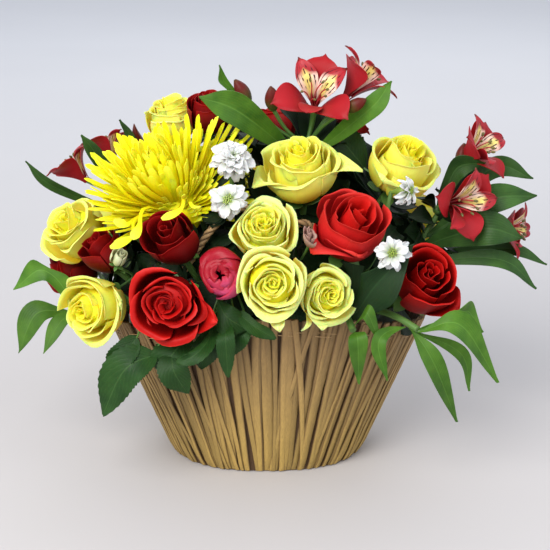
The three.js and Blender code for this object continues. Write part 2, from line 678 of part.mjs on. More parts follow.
// The green cup under a bloom: a star of sepals turned back, over a short neck
function cup(bloom, grow) {
  const { r } = bloom;
  const turn = axesOf(bloom);
  const ring = (tip, dip, drop) =>
    [...Array(10)].map((_, k) => {
      const level = -(BASE + drop + (k % 2 ? 0 : 0.05)) * r - FIT;
      const p = new THREE.Vector3(r * (k % 2 ? dip : tip) + grow, 0, level);
      p.applyAxisAngle(UP, (Math.PI * k) / 5).applyMatrix4(turn).add(vec(bloom.at));
      if (k % 2 === 0 && tip > dip) bendClear(p, [bloom.name], CLEAR);
      const above = p.clone().sub(vec(bloom.at)).dot(unit(bloom.face)) - level;
      return p.addScaledVector(unit(bloom.face), -Math.max(0, above));
    });
  const under = (LEAF_THICK + grow) / r;
  return loft([ring(0.56, 0.2, -grow / r), ring(0.55, 0.19, under), ring(0.13, 0.13, CUP)]);
}

// A stem's line leaves the foam towards `end` and comes up to it along `way`, round the blooms.
function stemLine(end, way, through = []) {
  const first = through.length ? vec(through[0]) : vec(end);
  const lead = first.clone().sub(STEM_CORE).normalize();
  const start = lead.clone().multiply(STEM_START).add(STEM_CORE);
  if (through.length) return new THREE.CatmullRomCurve3([start, ...through.map(vec)]).getPoints(9);
  const span = vec(end).distanceTo(start);
  const leaving = start.clone().addScaledVector(lead, 0.4 * span);
  const coming = vec(end).addScaledVector(unit(way), -0.3 * span);
  return new THREE.CubicBezierCurve3(start, leaving, coming, vec(end)).getPoints(9);
}

// Lifts a point over the basket's rim if it lies in or close to the wall.
function overRim(p, room) {
  const share = (inset) => {
    const x = Math.abs(p.x) / (wallHalfX(p.z) - inset);
    const y = Math.abs(p.y) / (wallHalfY(p.z) - inset);
    return x ** SQUARENESS + y ** SQUARENESS;
  };
  const turn = Math.atan2(p.y / FOOT_HALF_Y, p.x / FOOT_HALF_X) / (2 * Math.PI);
  const inWall = share(WALL + LINER_INSET) > 1 && share(-room - 3) < 1;
  if (inWall) p.z = Math.max(p.z, rimHeight(turn) + room);
  return p;
}

// Stems that run too close push each other apart, and bend round blooms. Both ends keep still.
function relax(stems, fixed) {
  for (let round = 0; round < 60; round++) {
    for (const one of stems) {
      for (const other of [...stems, ...fixed]) {
        if (one.plant === other.plant) continue;
        const need = one.radius + other.radius + STEM_ROOM;
        for (const p of one.points.slice(0, -1))
          for (const q of other.points) {
            const away = p.clone().sub(q);
            const gap = away.length();
            if (gap < need) p.addScaledVector(away, (0.4 * (need - gap)) / gap);
          }
      }
      for (let k = 1; k + 1 < one.points.length; k++) {
        const middle = one.points[k - 1].clone().add(one.points[k + 1]).multiplyScalar(0.5);
        one.points[k].lerp(middle, 0.12);
        bendOff(one.points[k], one.except, CLEAR + one.radius);
        overRim(one.points[k], 2 + one.radius);
      }
    }
  }
}

// Moves a point out of the balls it is in.
function bendOff(p, except, room) {
  for (const { name, at, r } of BALLS) {
    const away = p.clone().sub(at);
    const keep = r + room;
    if (!except.includes(name) && away.length() < keep) p.copy(at).addScaledVector(away.normalize(), keep);
  }
}

// A leaf's middle sheet: from root to tip along its line, its upper face up and to the front
function leafSheet({ line, width, teeth = 0 }, root) {
  const through = teeth ? line : [root, ...line];
  const rib = new THREE.CatmullRomCurve3(through.map(vec), false, "centripetal");
  const [x, y] = line.at(-2);
  const outward = new THREE.Vector3(0.003 * x, y > 50 ? 1 : -1, 0.45).normalize();
  const across = rib.getPoint(1).sub(rib.getPoint(0)).cross(outward);
  const shape = teeth
    ? (v) => Math.sin(Math.PI * mix(0.03, 0.97, v ** 0.9)) ** 0.7
    : (v) => Math.sin(Math.PI * mix(0.02, 0.97, v ** 1.1)) ** 1.2;
  return (u, v) => {
    const p = rib.getPoint(v);
    const along = rib.getTangent(v);
    const side = across.clone().projectOnPlane(along).normalize();
    const lift = side.clone().cross(along);
    const saw = 1 - (teeth ? 0.16 : 0) * Math.abs(Math.sin(Math.PI * teeth * v));
    const half = Math.max(0.7, (width / 2) * shape(v) * saw);
    return p.addScaledVector(side, half * u).addScaledVector(lift, 0.22 * half * Math.abs(u));
  };
}

// A leaf on its stem. A toothed leaflet hangs on a thin stalk.
function leaf(spec, stem, grow) {
  const root = new THREE.CatmullRomCurve3(stem.points).getPoint(spec.from);
  const sheet = leafSheet(spec, root);
  const bent = (u, v) => bendClear(sheet(u, v), [], 0.9);
  const blades = [blade(bent, spec.width > 11 ? 2 : 1, spec.teeth ?? 4, LEAF_THICK, grow)];
  if (!spec.stalk) return blades;
  const line = [root, ...spec.stalk.map(vec), bent(0, 0.02), bent(0, 0.15)];
  for (const p of line.slice(1, -2)) bendOff(p, [], CLEAR + LEAF_STALK);
  return [...blades, bar(line, LEAF_STALK + grow, 3, 4)];
}

// Everything green that grows on one plant, by the name of its piece
const PLANTS = [];
const stemOf = (name, radius, lines, except) => {
  const stems = lines.map((points) => ({ plant: name, radius, points, except }));
  PLANTS.push({ name, radius, stems });
  return stems;
};
const footOf = (bloom) => out(bloom, bloom.one ? 0.1 - BASE : 0.05 - BASE - CUP);
const stalkTo = (bloom) => stemLine(footOf(bloom), bloom.face);
const stemName = ({ name, one }) => (one ? name : `${name}_stem`);

for (const bloom of ROSES) stemOf(stemName(bloom), ROSE_STEM, [stalkTo(bloom)], [bloom.name]);
stemOf("pink_bloom_stem", ROSE_STEM, [stalkTo(PINK_BLOOM)], ["pink_bloom"]);
for (const [name, { fork, blooms }] of Object.entries(SPRAYS)) {
  const branches = blooms.map((bloom) => {
    const end = footOf(bloom);
    const far = vec(fork).distanceTo(end);
    const knee = vec(fork).lerp(end, 0.6).addScaledVector(unit(bloom.face), -0.15 * far);
    return new THREE.QuadraticBezierCurve3(vec(fork), knee, end).getPoints(4);
  });
  stemOf(name, THIN_STEM, [stemLine(fork, [0, -0.2, 1]), ...branches], blooms.map((bloom) => bloom.name));
}
stemOf("chrysanthemum_stem", ROSE_STEM, [stemLine(out(MUM, -0.3), MUM.face)], []);
for (const { name, hub } of UMBELS) {
  const end = vec(hub).add(new THREE.Vector3(0, 0, -HUB - FIT));
  stemOf(`${name}_stem`, ROSE_STEM, [stemLine(end, UP)], []);
}
for (const [name, through] of Object.entries(LEAFY_STEMS)) {
  stemOf(name, ROSE_STEM, [stemLine([], [], through)], []);
}

const handles = [-1, 1].map(handleLine);
const fixed = handles.map((points) => ({
  plant: "handles",
  radius: CORD_RADIUS,
  points: new THREE.CatmullRomCurve3(points).getPoints(60),
}));
relax(
  PLANTS.flatMap((plant) => plant.stems),
  fixed,
);

// The stems of a plant as bars, `grow` larger and longer
const stemBars = ({ radius, stems }, grow) =>
  stems.map(({ points }) => {
    const [first, second] = points;
    const start = first.clone().addScaledVector(first.clone().sub(second).normalize(), grow);
    return bar([start, ...points.slice(1)], radius + 1.45 * grow, 4, points.length > 6 ? 5 : 2);
  });

// The pieces in the order in which they are set: a later one is cut clear of the earlier ones.
// Each has bodies that can be made `grow` larger.
const PIECES = [];
const piece = (name, material, bodies) => PIECES.push({ name, material, bodies });
const plantOf = (name) => PLANTS.find((plant) => plant.name === name);
const stalk = (name, grow) => {
  const plant = plantOf(name);
  const leaves = (LEAVES[name] ?? []).flatMap((spec) => leaf(spec, plant.stems[0], grow));
  return [...stemBars(plant, grow), ...leaves];
};
const colourOf = ({ name }) => (name.includes("yellow") ? yellowPetal : redPetal);
const own = (bloom, make) => (grow) => (grow ? [ball(bloom.at, bloom.r + grow, 10, 8)] : make(bloom));
const split = ROSES.filter((bloom) => !bloom.one);

piece("handle_front", cord, (grow) => [bar(handles[0], CORD_RADIUS + grow, 6, 18)]);
piece("handle_back", cord, (grow) => [bar(handles[1], CORD_RADIUS + grow, 6, 18)]);
for (const bloom of split) piece(bloom.name, colourOf(bloom), own(bloom, roseHead));
for (const bloom of SPRAY_ROSES) piece(bloom.name, lemonPetal, own(bloom, roseHead));
for (const bloom of DAISIES) piece(bloom.name, whitePetal, own(bloom, daisyHead));
piece("pink_bloom", pinkPetal, own(PINK_BLOOM, closedHead));
for (const bloom of ROSES.filter((bloom) => bloom.one))
  piece(bloom.name, colourOf(bloom), (grow) => [...own(bloom, roseHead)(grow), ...stalk(bloom.name, grow)]);
for (const [name, { blooms }] of Object.entries(SPRAYS))
  piece(name, green, (grow) => [...blooms.map((bloom) => cup(bloom, grow)), ...stalk(name, grow)]);
for (const bloom of [...split, PINK_BLOOM])
  piece(stemName(bloom), green, (grow) => [cup(bloom, grow), ...stalk(stemName(bloom), grow)]);
piece("chrysanthemum_stem", green, (grow) => stalk("chrysanthemum_stem", grow));
piece("chrysanthemum", mumPetal, mumHead);
for (const umbel of UMBELS) piece(umbel.name, lilyPetal, (grow) => umbelFlowers(umbel, grow));
for (const { name } of UMBELS) piece(`${name}_stem`, green, (grow) => stalk(`${name}_stem`, grow));
for (const name of Object.keys(LEAFY_STEMS)) piece(name, green, (grow) => stalk(name, grow));

const group = new THREE.Group();
function show(name, made, material) {
  const mesh = new THREE.Mesh(geometryOf(whole(made.simplify(0.4))), material);
  mesh.name = name;
  group.add(mesh);
}

const joined = (bodies) => wasm.Manifold.union(bodies);
const crosses = (one, other) => !one.intersect(other).isEmpty();
const built = [];
for (const { name, material, bodies } of PIECES) {
  let made = joined(bodies(0));
  for (const other of built) {
    if (!crosses(made, other.made)) continue;
    other.grown ??= joined(other.bodies(FIT));
    made = made.subtract(other.grown);
  }
  made = whole(made);
  built.push({ made, bodies });
  show(name, made, material);
}
show("basket_wall", basketWall(), paper);
show("basket_board", footBoard(), board);
show("liner", linerDish(), film);
const holes = PLANTS.flatMap((plant) => stemBars({ ...plant, stems: plant.stems.slice(0, 1) }, FIT));
show("foam", foamBlock().subtract(joined(holes)), foamGreen);

export default group;
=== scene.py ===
# The looks of the flower basket: petals, florets, leaves, paper strips and twisted cords, each in
# the place that the frame gives it. The layout is in millimetres, and meshes are made in metres.

import math

import bpy
import numpy as np
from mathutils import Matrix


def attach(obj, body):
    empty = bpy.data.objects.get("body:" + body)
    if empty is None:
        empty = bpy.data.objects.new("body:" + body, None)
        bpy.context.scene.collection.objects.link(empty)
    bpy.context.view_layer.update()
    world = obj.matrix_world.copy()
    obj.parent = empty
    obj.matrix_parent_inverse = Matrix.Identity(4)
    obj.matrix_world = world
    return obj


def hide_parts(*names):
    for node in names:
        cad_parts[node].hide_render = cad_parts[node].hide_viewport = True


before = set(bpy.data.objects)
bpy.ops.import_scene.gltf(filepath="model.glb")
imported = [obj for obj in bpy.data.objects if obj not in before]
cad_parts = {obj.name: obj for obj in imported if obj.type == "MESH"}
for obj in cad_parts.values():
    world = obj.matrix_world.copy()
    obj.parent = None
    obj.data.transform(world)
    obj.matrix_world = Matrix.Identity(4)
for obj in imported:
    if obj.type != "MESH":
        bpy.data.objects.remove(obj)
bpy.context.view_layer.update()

MM = 0.001
UP = np.array([0.0, 0.0, 1.0])
GOLDEN = math.pi * (3 - math.sqrt(5))  # the turn from one petal to the next

# ---- The layout, the same as the solids' ----

# The basket: half its foot, how fast it widens with height, how square its oval is (2 would be an
# ellipse), its rim at the front and at the ends, its wall, and how far inside it the liner stands
FOOT_HALF_X, FOOT_HALF_Y = 69, 57
FLARE_X, FLARE_Y = 0.42, 0.2
SQUARENESS = 2.35
RIM_HIGH, RIM_LOW = 121, 101
WALL, LINER_INSET, FIT = 3.6, 8, 0.35
STRIPS, LOOSE_STRIPS = 112, 84
RIM_STITCHES, STITCH_DEPTH, THREAD_RADIUS = 30, 0.7, 0.28

# The handles: half the span of a cord, how far its arch leans to the right and inwards, and the
# heights of its top, of its ends and of the place where the arch begins
CORD_RADIUS, STRAND_RADIUS, STRANDS, PITCH = 3, 1.65, 3, 17
HANDLE_HALF_SPAN, HANDLE_SHIFT, HANDLE_LEAN = 64, 5, 25
HANDLE_APEX, HANDLE_FOOT, ARCH_FOOT = 190, 78, 104

# Stems start on a small oval ball in the foam and lead away from its middle
STEM_CORE = np.array([0.0, 0.0, 76.0])
STEM_START = np.array([44.0, 26.0, 20.0])
ROSE_STEM, THIN_STEM, LEAF_STALK = 2.3, 1.5, 0.9  # radii
STEM_ROOM = 2  # room between stems
HUB, KNOT = 4, 3.4  # radii of an umbel's hub as a solid and as shown

CLEAR = 1.5  # room kept round a bloom by what bends past it
BASE = 0.86  # a bloom's foot lies this share of its radius below its middle
CUP = 0.22  # and its green cup reaches on by this share
PETAL_THICK, LEAF_THICK = 0.4, 0.45
LEAF_ROOM, PETAL_ROOM, LILY_ROOM = 0.9, 0.4, 0.8  # less room, for what may touch a bloom

# name: middle, the way it looks, radius, how far it has opened, turn about its axis
ROSES_ON_CUPS = {
    "rose_yellow_1": ([-132, -25, 167], [-0.55, -0.5, 0.6], 27.5, 0.9, 0.3),
    "rose_yellow_2": ([-116, -61, 123], [-0.45, -0.8, 0.05], 26.5, 0.8, 1.1),
    "rose_yellow_3": ([22, -35, 213], [-0.1, -0.35, 0.93], 29.5, 0.9, 0.5),
    "rose_yellow_4": ([92, -10, 208], [0.35, -0.4, 0.8], 27.5, 0.7, 0),
    "rose_red_1": ([-63, -97, 139], [-0.1, -0.95, 0.15], 29.5, 1, 0.2),
    "rose_red_2": ([-61, -75, 174], [-0.3, -0.55, 0.75], 21, 0.3, 0.9),
    "rose_red_3": ([-109, -45, 156], [-0.5, -0.3, 0.8], 18.5, 0.1, 0.4),
    "rose_red_5": ([54, -68, 182], [0.25, -0.5, 0.8], 29.5, 0.5, 0.1),
    "rose_red_6": ([104, -62, 142], [0.3, -0.7, 0.6], 27.5, 0.6, 1),
}
ROSES_IN_ONE = {
    "rose_yellow_5": ([-66, 30, 232], [-0.1, -0.1, 0.95], 22, 0.8, 0.7),
    "rose_red_4": ([-137, -3, 128], [-0.8, -0.4, -0.1], 22, 0.5, 1.3),
    "rose_red_7": ([-40, 12, 239], [0, -0.2, 0.95], 18.5, 0.3, 0.6),
    "rose_red_8": ([62, 74, 176], [0.35, 0.75, 0.55], 28.5, 0.8, 0.2),
    "rose_red_9": ([-58, 80, 166], [-0.35, 0.8, 0.4], 27.5, 0.9, 0.8),
    "rose_red_10": ([12, 46, 222], [0.1, 0.35, 0.92], 25.5, 0.6, 0.5),
    "rose_yellow_6": ([2, 92, 158], [0, 0.95, 0.3], 28.5, 0.9, 1.2),
    "rose_yellow_7": ([112, 48, 146], [0.7, 0.6, 0.3], 26.5, 0.7, 0.9),
    "rose_yellow_8": ([-112, 62, 142], [-0.7, 0.6, 0.3], 25.5, 0.8, 0.1),
}
SPRAY_ROSES = {
    "spray_rose_1": ([-2, -75, 181], [0, -0.75, 0.65], 25.5, 0.95, 0.4),
    "spray_rose_2": ([4, -106, 154], [0, -0.97, 0.2], 27.5, 1, 0.9),
    "spray_rose_3": ([38, -94, 144], [0.3, -0.9, 0.2], 22, 0.9, 0),
}
PINK_BLOOM = ([-28, -90, 156], [-0.15, -0.95, 0.2], 17.5, 0.5, 0.2)
DAISIES = {
    "daisy_1": ([-22, -50, 221], [0.1, -0.8, 0.6], 17.5, 1, 0),
    "daisy_2": ([-24, -72, 200], [-0.1, -0.9, 0.35], 16.5, 1, 0.3),
    "daisy_3": ([80, -90, 170], [0.05, -0.85, 0.3], 14.5, 1, 0.6),
    "daisy_4": ([93, -50, 200], [0.85, -0.4, 0.2], 12, 1, 0.9),
}
MUM_AT = np.array([-59.0, -35.0, 181.0])
MUM_FACE = [-0.345, -0.309, 0.886]
MUM_RADIUS, MUM_FLORETS = 64, 470
# Ways in which its florets are longer or shorter than the rest
LEFT, RIGHT_FRONT = np.array([-0.93, 0.0, 0.36]), np.array([0.5, -0.86, 0.0])
RIGHT_BACK = np.array([0.66, 0.33, 0.67])

# The spoon-tipped florets that droop in front: middle, tip and half width
SPOONS = [
    ([-80, -88, 179], [-98, -88, 172], 2.8),
    ([-74, -84, 184], [-82, -92, 178], 3.3),
    ([-54, -86, 195], [-65, -94, 191], 2.6),
    ([-47, -78, 195], [-39, -86, 199], 2.3),
    ([-83, -76, 183], [-97, -76, 187], 3.2),
]

# hub, open flowers (middle, the way it looks, radius, turn about its axis) and buds
UMBELS = {
    "alstroemeria_top": (
        [26, 6, 216],
        [
            ([32, -8, 254], [0, -0.75, 0.6], 28, -0.26),
            ([66, 4, 264], [0.65, 0.1, 0.7], 25, 0.6),
            ([56, 16, 228], [0.5, 0.35, 0.6], 18, 2.0),
        ],
        [
            ([-16, 0, 254], [-0.5, -0.1, 0.85], 6.5),
            ([4, -6, 250], [-0.1, -0.3, 0.9], 6.5),
            ([58, -14, 248], [0.8, -0.2, 0.5], 6),
        ],
    ),
    "alstroemeria_right": (
        [118, 2, 172],
        [
            ([147, 8, 214], [0.7, -0.35, 0.55], 24, -1.0),
            ([131, -32, 186], [0.5, -0.8, 0.15], 25, -0.87),
            ([173, 0, 158], [0.9, -0.3, 0.1], 20, -1.2),
        ],
        [([134, 14, 206], [0.2, 0.1, 0.9], 6)],
    ),
    "alstroemeria_left": (
        [-102, 40, 176],
        [
            ([-137, 34, 196], [-0.6, 0.15, 0.7], 20, 0.4),
            ([-114, 50, 206], [-0.3, 0.4, 0.85], 19, 0.9),
        ],
        [([-88, 30, 216], [0, -0.2, 0.95], 7)],
    ),
}

# Long leaves: share of the way up the stem, middle, tip, width and, for one near-black with
# painted shade, the bloom that it passes behind
LONG_LEAVES = {
    "alstroemeria_top_stem": [
        (0.93, [-18, -22, 246], [-44, -30, 258], 22),
        (0.95, [68, -10, 243], [83, -12, 265], 16),
        (0.9, [-24, 10, 246], [-32, 6, 272], 9),
    ],
    "alstroemeria_right_stem": [
        (0.97, [128, 4, 200], [150, 0, 206], 16),
        (0.93, [158, 24, 196], [186, 18, 190], 15),
        (0.8, [150, -10, 182], [184, -12, 186], 20),
        (0.72, [146, -24, 166], [173, -26, 160], 24),
        (0.64, [165, 2, 144], [196, 2, 132], 9),
        (0.58, [158, -16, 142], [186, -18, 121], 12),
    ],
    "alstroemeria_left_stem": [
        (0.9, [-118, 20, 206], [-128, 14, 222], 11),
        (0.95, [-92, 22, 214], [-101, 18, 232], 10),
        (0.8, [-148, 16, 184], [-167, 12, 204], 7),
    ],
    "leafy_stem_left": [
        (0.93, [-147, -26, 140], [-173, -28, 124], 17),
        (1, [-157, -32, 108], [-170, -40, 82], 19),
        (0.86, [-140, -36, 104], [-152, -46, 84], 12),
    ],
    "leafy_stem_right": [
        (1, [124, -96, 124], [152, -88, 80], 17),
        (0.92, [108, -98, 98], [126, -88, 52], 14),
        (0.97, [125, -72, 128], [143, -68, 108], 12),
        (0.9, [128, -76, 96], [135, -76, 69], 10),
        (0.86, [72, -104, 116], [78, -104, 88], 10),
    ],
    "leafy_stem_centre": [
        (0.8, [68, -84, 146], [93, -83, 173], 34, "daisy_3"),
        (0.92, [62, -98, 134], [74, -100, 112], 10),
        (1, [58, -104, 116], [60, -100, 84], 13),
        (0.8, [55, -76, 156], [54, -80, 138], 17, "rose_red_5"),
    ],
    "leafy_stem_back": [
        (0.9, [-40, 104, 124], [-52, 108, 92], 18),
        (1, [-12, 108, 112], [-6, 106, 74], 17),
        (0.8, [24, 102, 124], [44, 104, 98], 16),
    ],
}

# Rose leaflets: share of the way up the stem, where the stalk passes, the blade's line, width
LEAFLETS = {
    "rose_red_1_stem": [
        (0.94, [-66, -80, 114], [[-72, -88, 102], [-92, -94, 92], [-108, -90, 58]], 30),
        (0.94, [-63, -80, 113], [[-62, -88, 104], [-60, -96, 92], [-52, -92, 74]], 22),
        (0.94, [-56, -78, 116], [[-54, -84, 116], [-62, -90, 102], [-68, -86, 82]], 26),
        (0.94, [-80, -72, 116], [[-84, -82, 112], [-94, -86, 100], [-104, -82, 84]], 22),
    ],
    "pink_bloom_stem": [
        (0.9, [-34, -78, 128], [[-38, -88, 124], [-46, -104, 112], [-58, -106, 104]], 20),
        (0.9, [-30, -80, 128], [[-29, -88, 124], [-27, -102, 116], [-25, -98, 88]], 15),
        (0.9, [-22, -80, 130], [[-18, -88, 130], [-6, -98, 126], [6, -98, 116]], 14),
        (0.9, [-30, -78, 130], [[-38, -86, 138], [-27, -92, 129], [-12, -92, 120]], 24),
        (0.86, [-34, -76, 122], [[-34, -84, 122], [-40, -90, 108], [-44, -86, 90]], 24),
        (0.86, [-14, -78, 124], [[-14, -84, 124], [-20, -90, 114], [-26, -86, 98]], 20),
    ],
    "rose_yellow_4_stem": [(0.94, [78, 4, 192], [[72, 8, 200], [57, 12, 213], [46, 14, 230]], 26)],
}
# Leafy stems: the points that each passes through
LEAFY_STEMS = {
    "leafy_stem_left": [[-96, -18, 113], [-122, -24, 114], [-132, -26, 108]],
    "leafy_stem_right": [[74, -52, 132], [88, -76, 128], [98, -90, 118]],
    "leafy_stem_centre": [[46, -58, 130], [52, -78, 129], [56, -92, 118]],
    "leafy_stem_back": [[-10, 66, 128], [-14, 84, 124], [-14, 92, 114]],
}
# Tips of single leaves, near-black with painted shade, where one would see through between the
# blooms
GAPS = [
    [102, -6, 172], [118, 0, 166], [132, 4, 154], [112, 4, 152], [92, 12, 182],
    [-12, 14, 238], [8, 22, 242], [26, 24, 240], [44, 26, 238], [64, 26, 228],
    [80, 24, 214], [-15, 6, 222], [-26, 8, 214], [-98, -50, 136], [-90, -44, 128],
    [-30, -42, 163], [-44, -50, 152], [16, -50, 176], [-90, -24, 141], [-75, -24, 141],
    [-112, -20, 130], [-104, -16, 130], [-25, -20, 170], [-18, -32, 173], [92, -46, 116],
    [-32, 12, 226], [-22, 14, 229], [49, 22, 219], [58, 20, 214], [68, 24, 217],
    [78, 18, 212], [-22, 34, 225], [-30, 79, 211], [-19, 79, 200], [-24, 61, 144],
    [143, 18, 132], [-82, 68, 104], [-119, 31, 112], [99, 10, 176], [108, 8, 175],
    [116, 8, 168], [91, -13, 198], [118, 23, 181], [150, 34, 203], [-50, 34, 215],
    [131, 20, 187],
]
MIDDLE = np.array([0, 4, 125])  # of the mass of flowers
# Shells that leaves near-black with painted shade fill: how many leaves, and half sizes of the oval
# that their tips lie on
SHELLS = ((190, [108, 72, 94]), (90, [84, 56, 74]))
# name: where the stem forks, and the blooms that it carries
SPRAYS = {
    "spray_rose_stem": ([8, -52, 138], ["spray_rose_1", "spray_rose_2", "spray_rose_3"]),
    "daisy_stem_left": ([-22, -34, 184], ["daisy_1", "daisy_2"]),
    "daisy_stem_right": ([76, -48, 162], ["daisy_3", "daisy_4"]),
}

# Petals that lean out of a bloom: turn about its axis, then reach, drop and half width in radii
LONG_PETALS = {
    "rose_yellow_2": [(-0.8, 1.25, 0.2, 0.5)],
    "rose_yellow_3": [(-0.42, 1.42, 0.55, 0.72), (3.4, 1.25, 0.42, 0.7)],
    "rose_yellow_4": [(3.5, 1.15, 0.35, 0.6), (-0.3, 1.2, 0.5, 0.5)],
    "rose_red_1": [(-0.45, 1.2, 0.15, 0.55)],
    "rose_red_5": [(3.5, 1.55, 0.75, 0.75), (4.3, 1.0, 0.3, 0.8)],
    "rose_red_6": [(-1.9, 1.15, 0.5, 0.6)],
    "rose_red_4": [(2.6, 1.3, 0.3, 0.5)],
    "spray_rose_2": [(-2.3, 1.1, 0.35, 0.2)],
    "spray_rose_3": [(-2.35, 1.25, 0.4, 0.17), (-1.8, 1.05, 0.3, 0.24)],
}
# How many petals a bloom has, and how uneven they are, where it differs from its kind
PETAL_COUNTS = {
    "rose_yellow_1": (21, 1.5),
    "rose_yellow_2": (17, 1.6),
    "rose_yellow_3": (22, 1.5),
    "rose_yellow_4": (16, 1.5),
    "rose_red_1": (16, 1.7),
    "rose_red_2": (12, 1.3),
    "rose_red_3": (10, 1.2),
    "rose_red_5": (12, 1.3),
    "rose_red_6": (14, 1.4),
}
OPEN_ROSE_PETALS, CLOSED_ROSE_PETALS, SPRAY_ROSE_PETALS, PINK_PETALS = 24, 17, 25, 12

# Whorls of a daisy's petals: how many, how long in radii and how steep
FULL_DAISY = ((13, 0.98, 0.05), (12, 0.86, 0.45), (10, 0.7, 0.85), (8, 0.5, 1.15), (5, 0.3, 1.3))
LOOSE_DAISY = ((11, 1.0, 0.1), (8, 0.78, 0.55))
DAISY_FLORETS, DAISY_EYE = 26, 0.2

# The six petals of an alstroemeria by their turn in degrees, a broad and a narrow one by turns
LILY_TURNS = (90, 128, 210, 52, 330, 270)
# Each kind of petal: how far down it is broadest, half width, length, foot's height and cupping
BROAD_PETAL = (1.5, 0.5, 0.98, -0.78, 0.12)
NARROW_PETAL = (1.25, 0.27, 0.9, -0.62, 0.3)

# Finishes of a mesh by the number that its faces carry
# The third finish is the near-black leaf, painted shade for leaves behind blooms and in the gaps
BLADE, STALK, PAINTED_SHADE = 0, 1, 2
EYE = 1
GUIDE, FILAMENT, ANTHER, BUD = 1, 2, 3, 4

# Seeds of the random draws. Where a kind has several pieces, each next one has the next seed.
SEEDS = dict(basket=7, filling=17, chrysanthemum=5, pink_bloom=61, side_bud=140, dried_bud=141)
SEEDS.update(rose=10, spray_rose=40, daisy=70, umbel=80)
SEEDS.update(rose_greenery=100, umbel_greenery=90, leafy_stem=120, other_stem=130)


# ---- Small sums ----


def unit(v):
    v = np.asarray(v, float)
    return v / np.linalg.norm(v, axis=-1, keepdims=True)


def mix(a, b, t):
    return a + (b - a) * t


def smooth(x, low, high):
    t = np.clip((x - low) / (high - low), 0, 1)
    return t * t * (3 - 2 * t)


def curve_through(points, count):
    """Evenly many points on a soft curve through these points."""
    points = np.asarray(points, float)
    p = np.array([2 * points[0] - points[1], *points, 2 * points[-1] - points[-2]])
    spans = len(points) - 1
    t = np.linspace(0, spans, count)
    k = np.minimum(t.astype(int), spans - 1)
    f = (t - k)[:, None]
    a, b, c, d = p[k], p[k + 1], p[k + 2], p[k + 3]
    square, cube = 2 * a - 5 * b + 4 * c - d, 3 * b - a - 3 * c + d
    return 0.5 * (2 * b + (c - a) * f + square * f**2 + cube * f**3)


def bezier(points, t):
    """A Bezier curve of any degree: t may be an array, and the points arrays of its shape."""
    row = list(points)
    while len(row) > 1:
        row = [mix(a, b, t) for a, b in zip(row, row[1:])]
    return row[0]


def blade_grid(rows, columns):
    """Places on a blade: v from 0 at its foot to 1 at its tip, and u from -1 to 1 across."""
    return np.meshgrid(np.linspace(0, 1, rows), np.linspace(-1, 1, columns), indexing="ij")


def about_axis(rho, angle, high):
    """Points this far from a bloom's axis, at this turn about it and this height along it."""
    return np.stack([rho * np.cos(angle), rho * np.sin(angle), high], -1)


def turned_about(p, angle):
    c, s = math.cos(angle), math.sin(angle)
    return p @ np.array([[c, s, 0], [-s, c, 0], [0, 0, 1]])


def ball(rows, sides, size, ridge=0):
    """Rings of points on a ball of this size, with a spiral ridge if one is asked for."""
    v, u = np.meshgrid(np.linspace(0.02, 0.98, rows), np.arange(sides) / sides, indexing="ij")
    rings = about_axis(np.sin(np.pi * v), 2 * np.pi * u, -np.cos(np.pi * v))
    return rings * size * (1 - ridge * ((9 * v + u) % 1))[..., None]


class Bloom:
    """Where a bloom stands: its middle, its radius and the axes that turn it to face its way."""

    def __init__(self, name, at, face, radius, opened=1.0, spin=0.0):
        self.name, self.radius, self.opened, self.spin = name, radius, opened, spin
        self.at = np.array(at, float)
        self.face = unit(face)
        x = unit(np.cross(UP, self.face))
        y = np.cross(self.face, x)
        c, s = math.cos(spin), math.sin(spin)
        self.axes = np.array([c * x + s * y, c * y - s * x, self.face])

    def out(self, share):
        return self.at + share * self.radius * self.face

    def placed(self, p):
        return self.at + self.radius * (p @ self.axes)


def blooms(rows):
    return {name: Bloom(name, *row) for name, row in rows.items()}


split_roses, whole_roses = blooms(ROSES_ON_CUPS), blooms(ROSES_IN_ONE)
spray_roses, daisies = blooms(SPRAY_ROSES), blooms(DAISIES)
pink_bloom = Bloom("pink_bloom", *PINK_BLOOM)
roses = {**split_roses, **whole_roses}
heads = [*roses.values(), *spray_roses.values(), pink_bloom, *daisies.values()]


def flatten(p, own):
    """Two blooms that crowd each other flatten along the plane between them."""
    for other in heads:
        n = other.at - own.at
        gap = np.linalg.norm(n)
        if other is own or gap > own.radius + other.radius + CLEAR:
            continue
        n = n / gap
        limit = (gap - CLEAR) * own.radius / (own.radius + other.radius)
        start = 0.55 * limit
        reach = (p - own.at) @ n
        pressed = start + (limit - start) * np.tanh((reach - start) / (limit - start))
        p = p + np.where(reach > start, pressed - reach, 0)[..., None] * n
    return p


def settle(p, own):
    """Puts a point of a bloom's own shape in its place. The bloom's foot keeps its shape."""
    soft = smooth(np.linalg.norm(p + [0, 0, BASE], axis=-1), 0.25, 0.6)[..., None]
    far = np.linalg.norm(p, axis=-1, keepdims=True)
    p = own.placed(p * np.minimum(1, 1.03 / np.maximum(far, 1e-6)))
    return mix(p, flatten(p, own), soft)


def bend_clear(p, room, skip=()):
    """Bends points softly round the ball of every bloom except those named. It takes two rounds,
    because what one bloom pushes away may end up in the next."""
    for head in heads * 2:
        if head.name in skip:
            continue
        away = p - head.at
        rho = np.maximum(np.linalg.norm(away, axis=-1, keepdims=True), 1e-6)
        keep = head.radius + room
        bent = head.at + away * ((rho**6 + keep**6) ** (1 / 6) / rho)
        p = np.where(rho > 2 * keep, p, bent)
    return p


def bend_off(p, room, skip=()):
    """Moves points out of the balls they are in."""
    for head in heads:
        if head.name in skip:
            continue
        away = p - head.at
        far = np.linalg.norm(away, axis=-1, keepdims=True)
        keep = head.radius + room
        p = np.where(far < keep, head.at + away / far * keep, p)
    return p


# ---- The basket's oval ----


def half_x(z):
    """Half the basket's width at this height."""
    return FOOT_HALF_X + FLARE_X * z


def half_y(z):
    return FOOT_HALF_Y + FLARE_Y * z


def rim_height(turn):
    return mix(RIM_LOW, RIM_HIGH, np.sin(2 * np.pi * turn) ** 2)


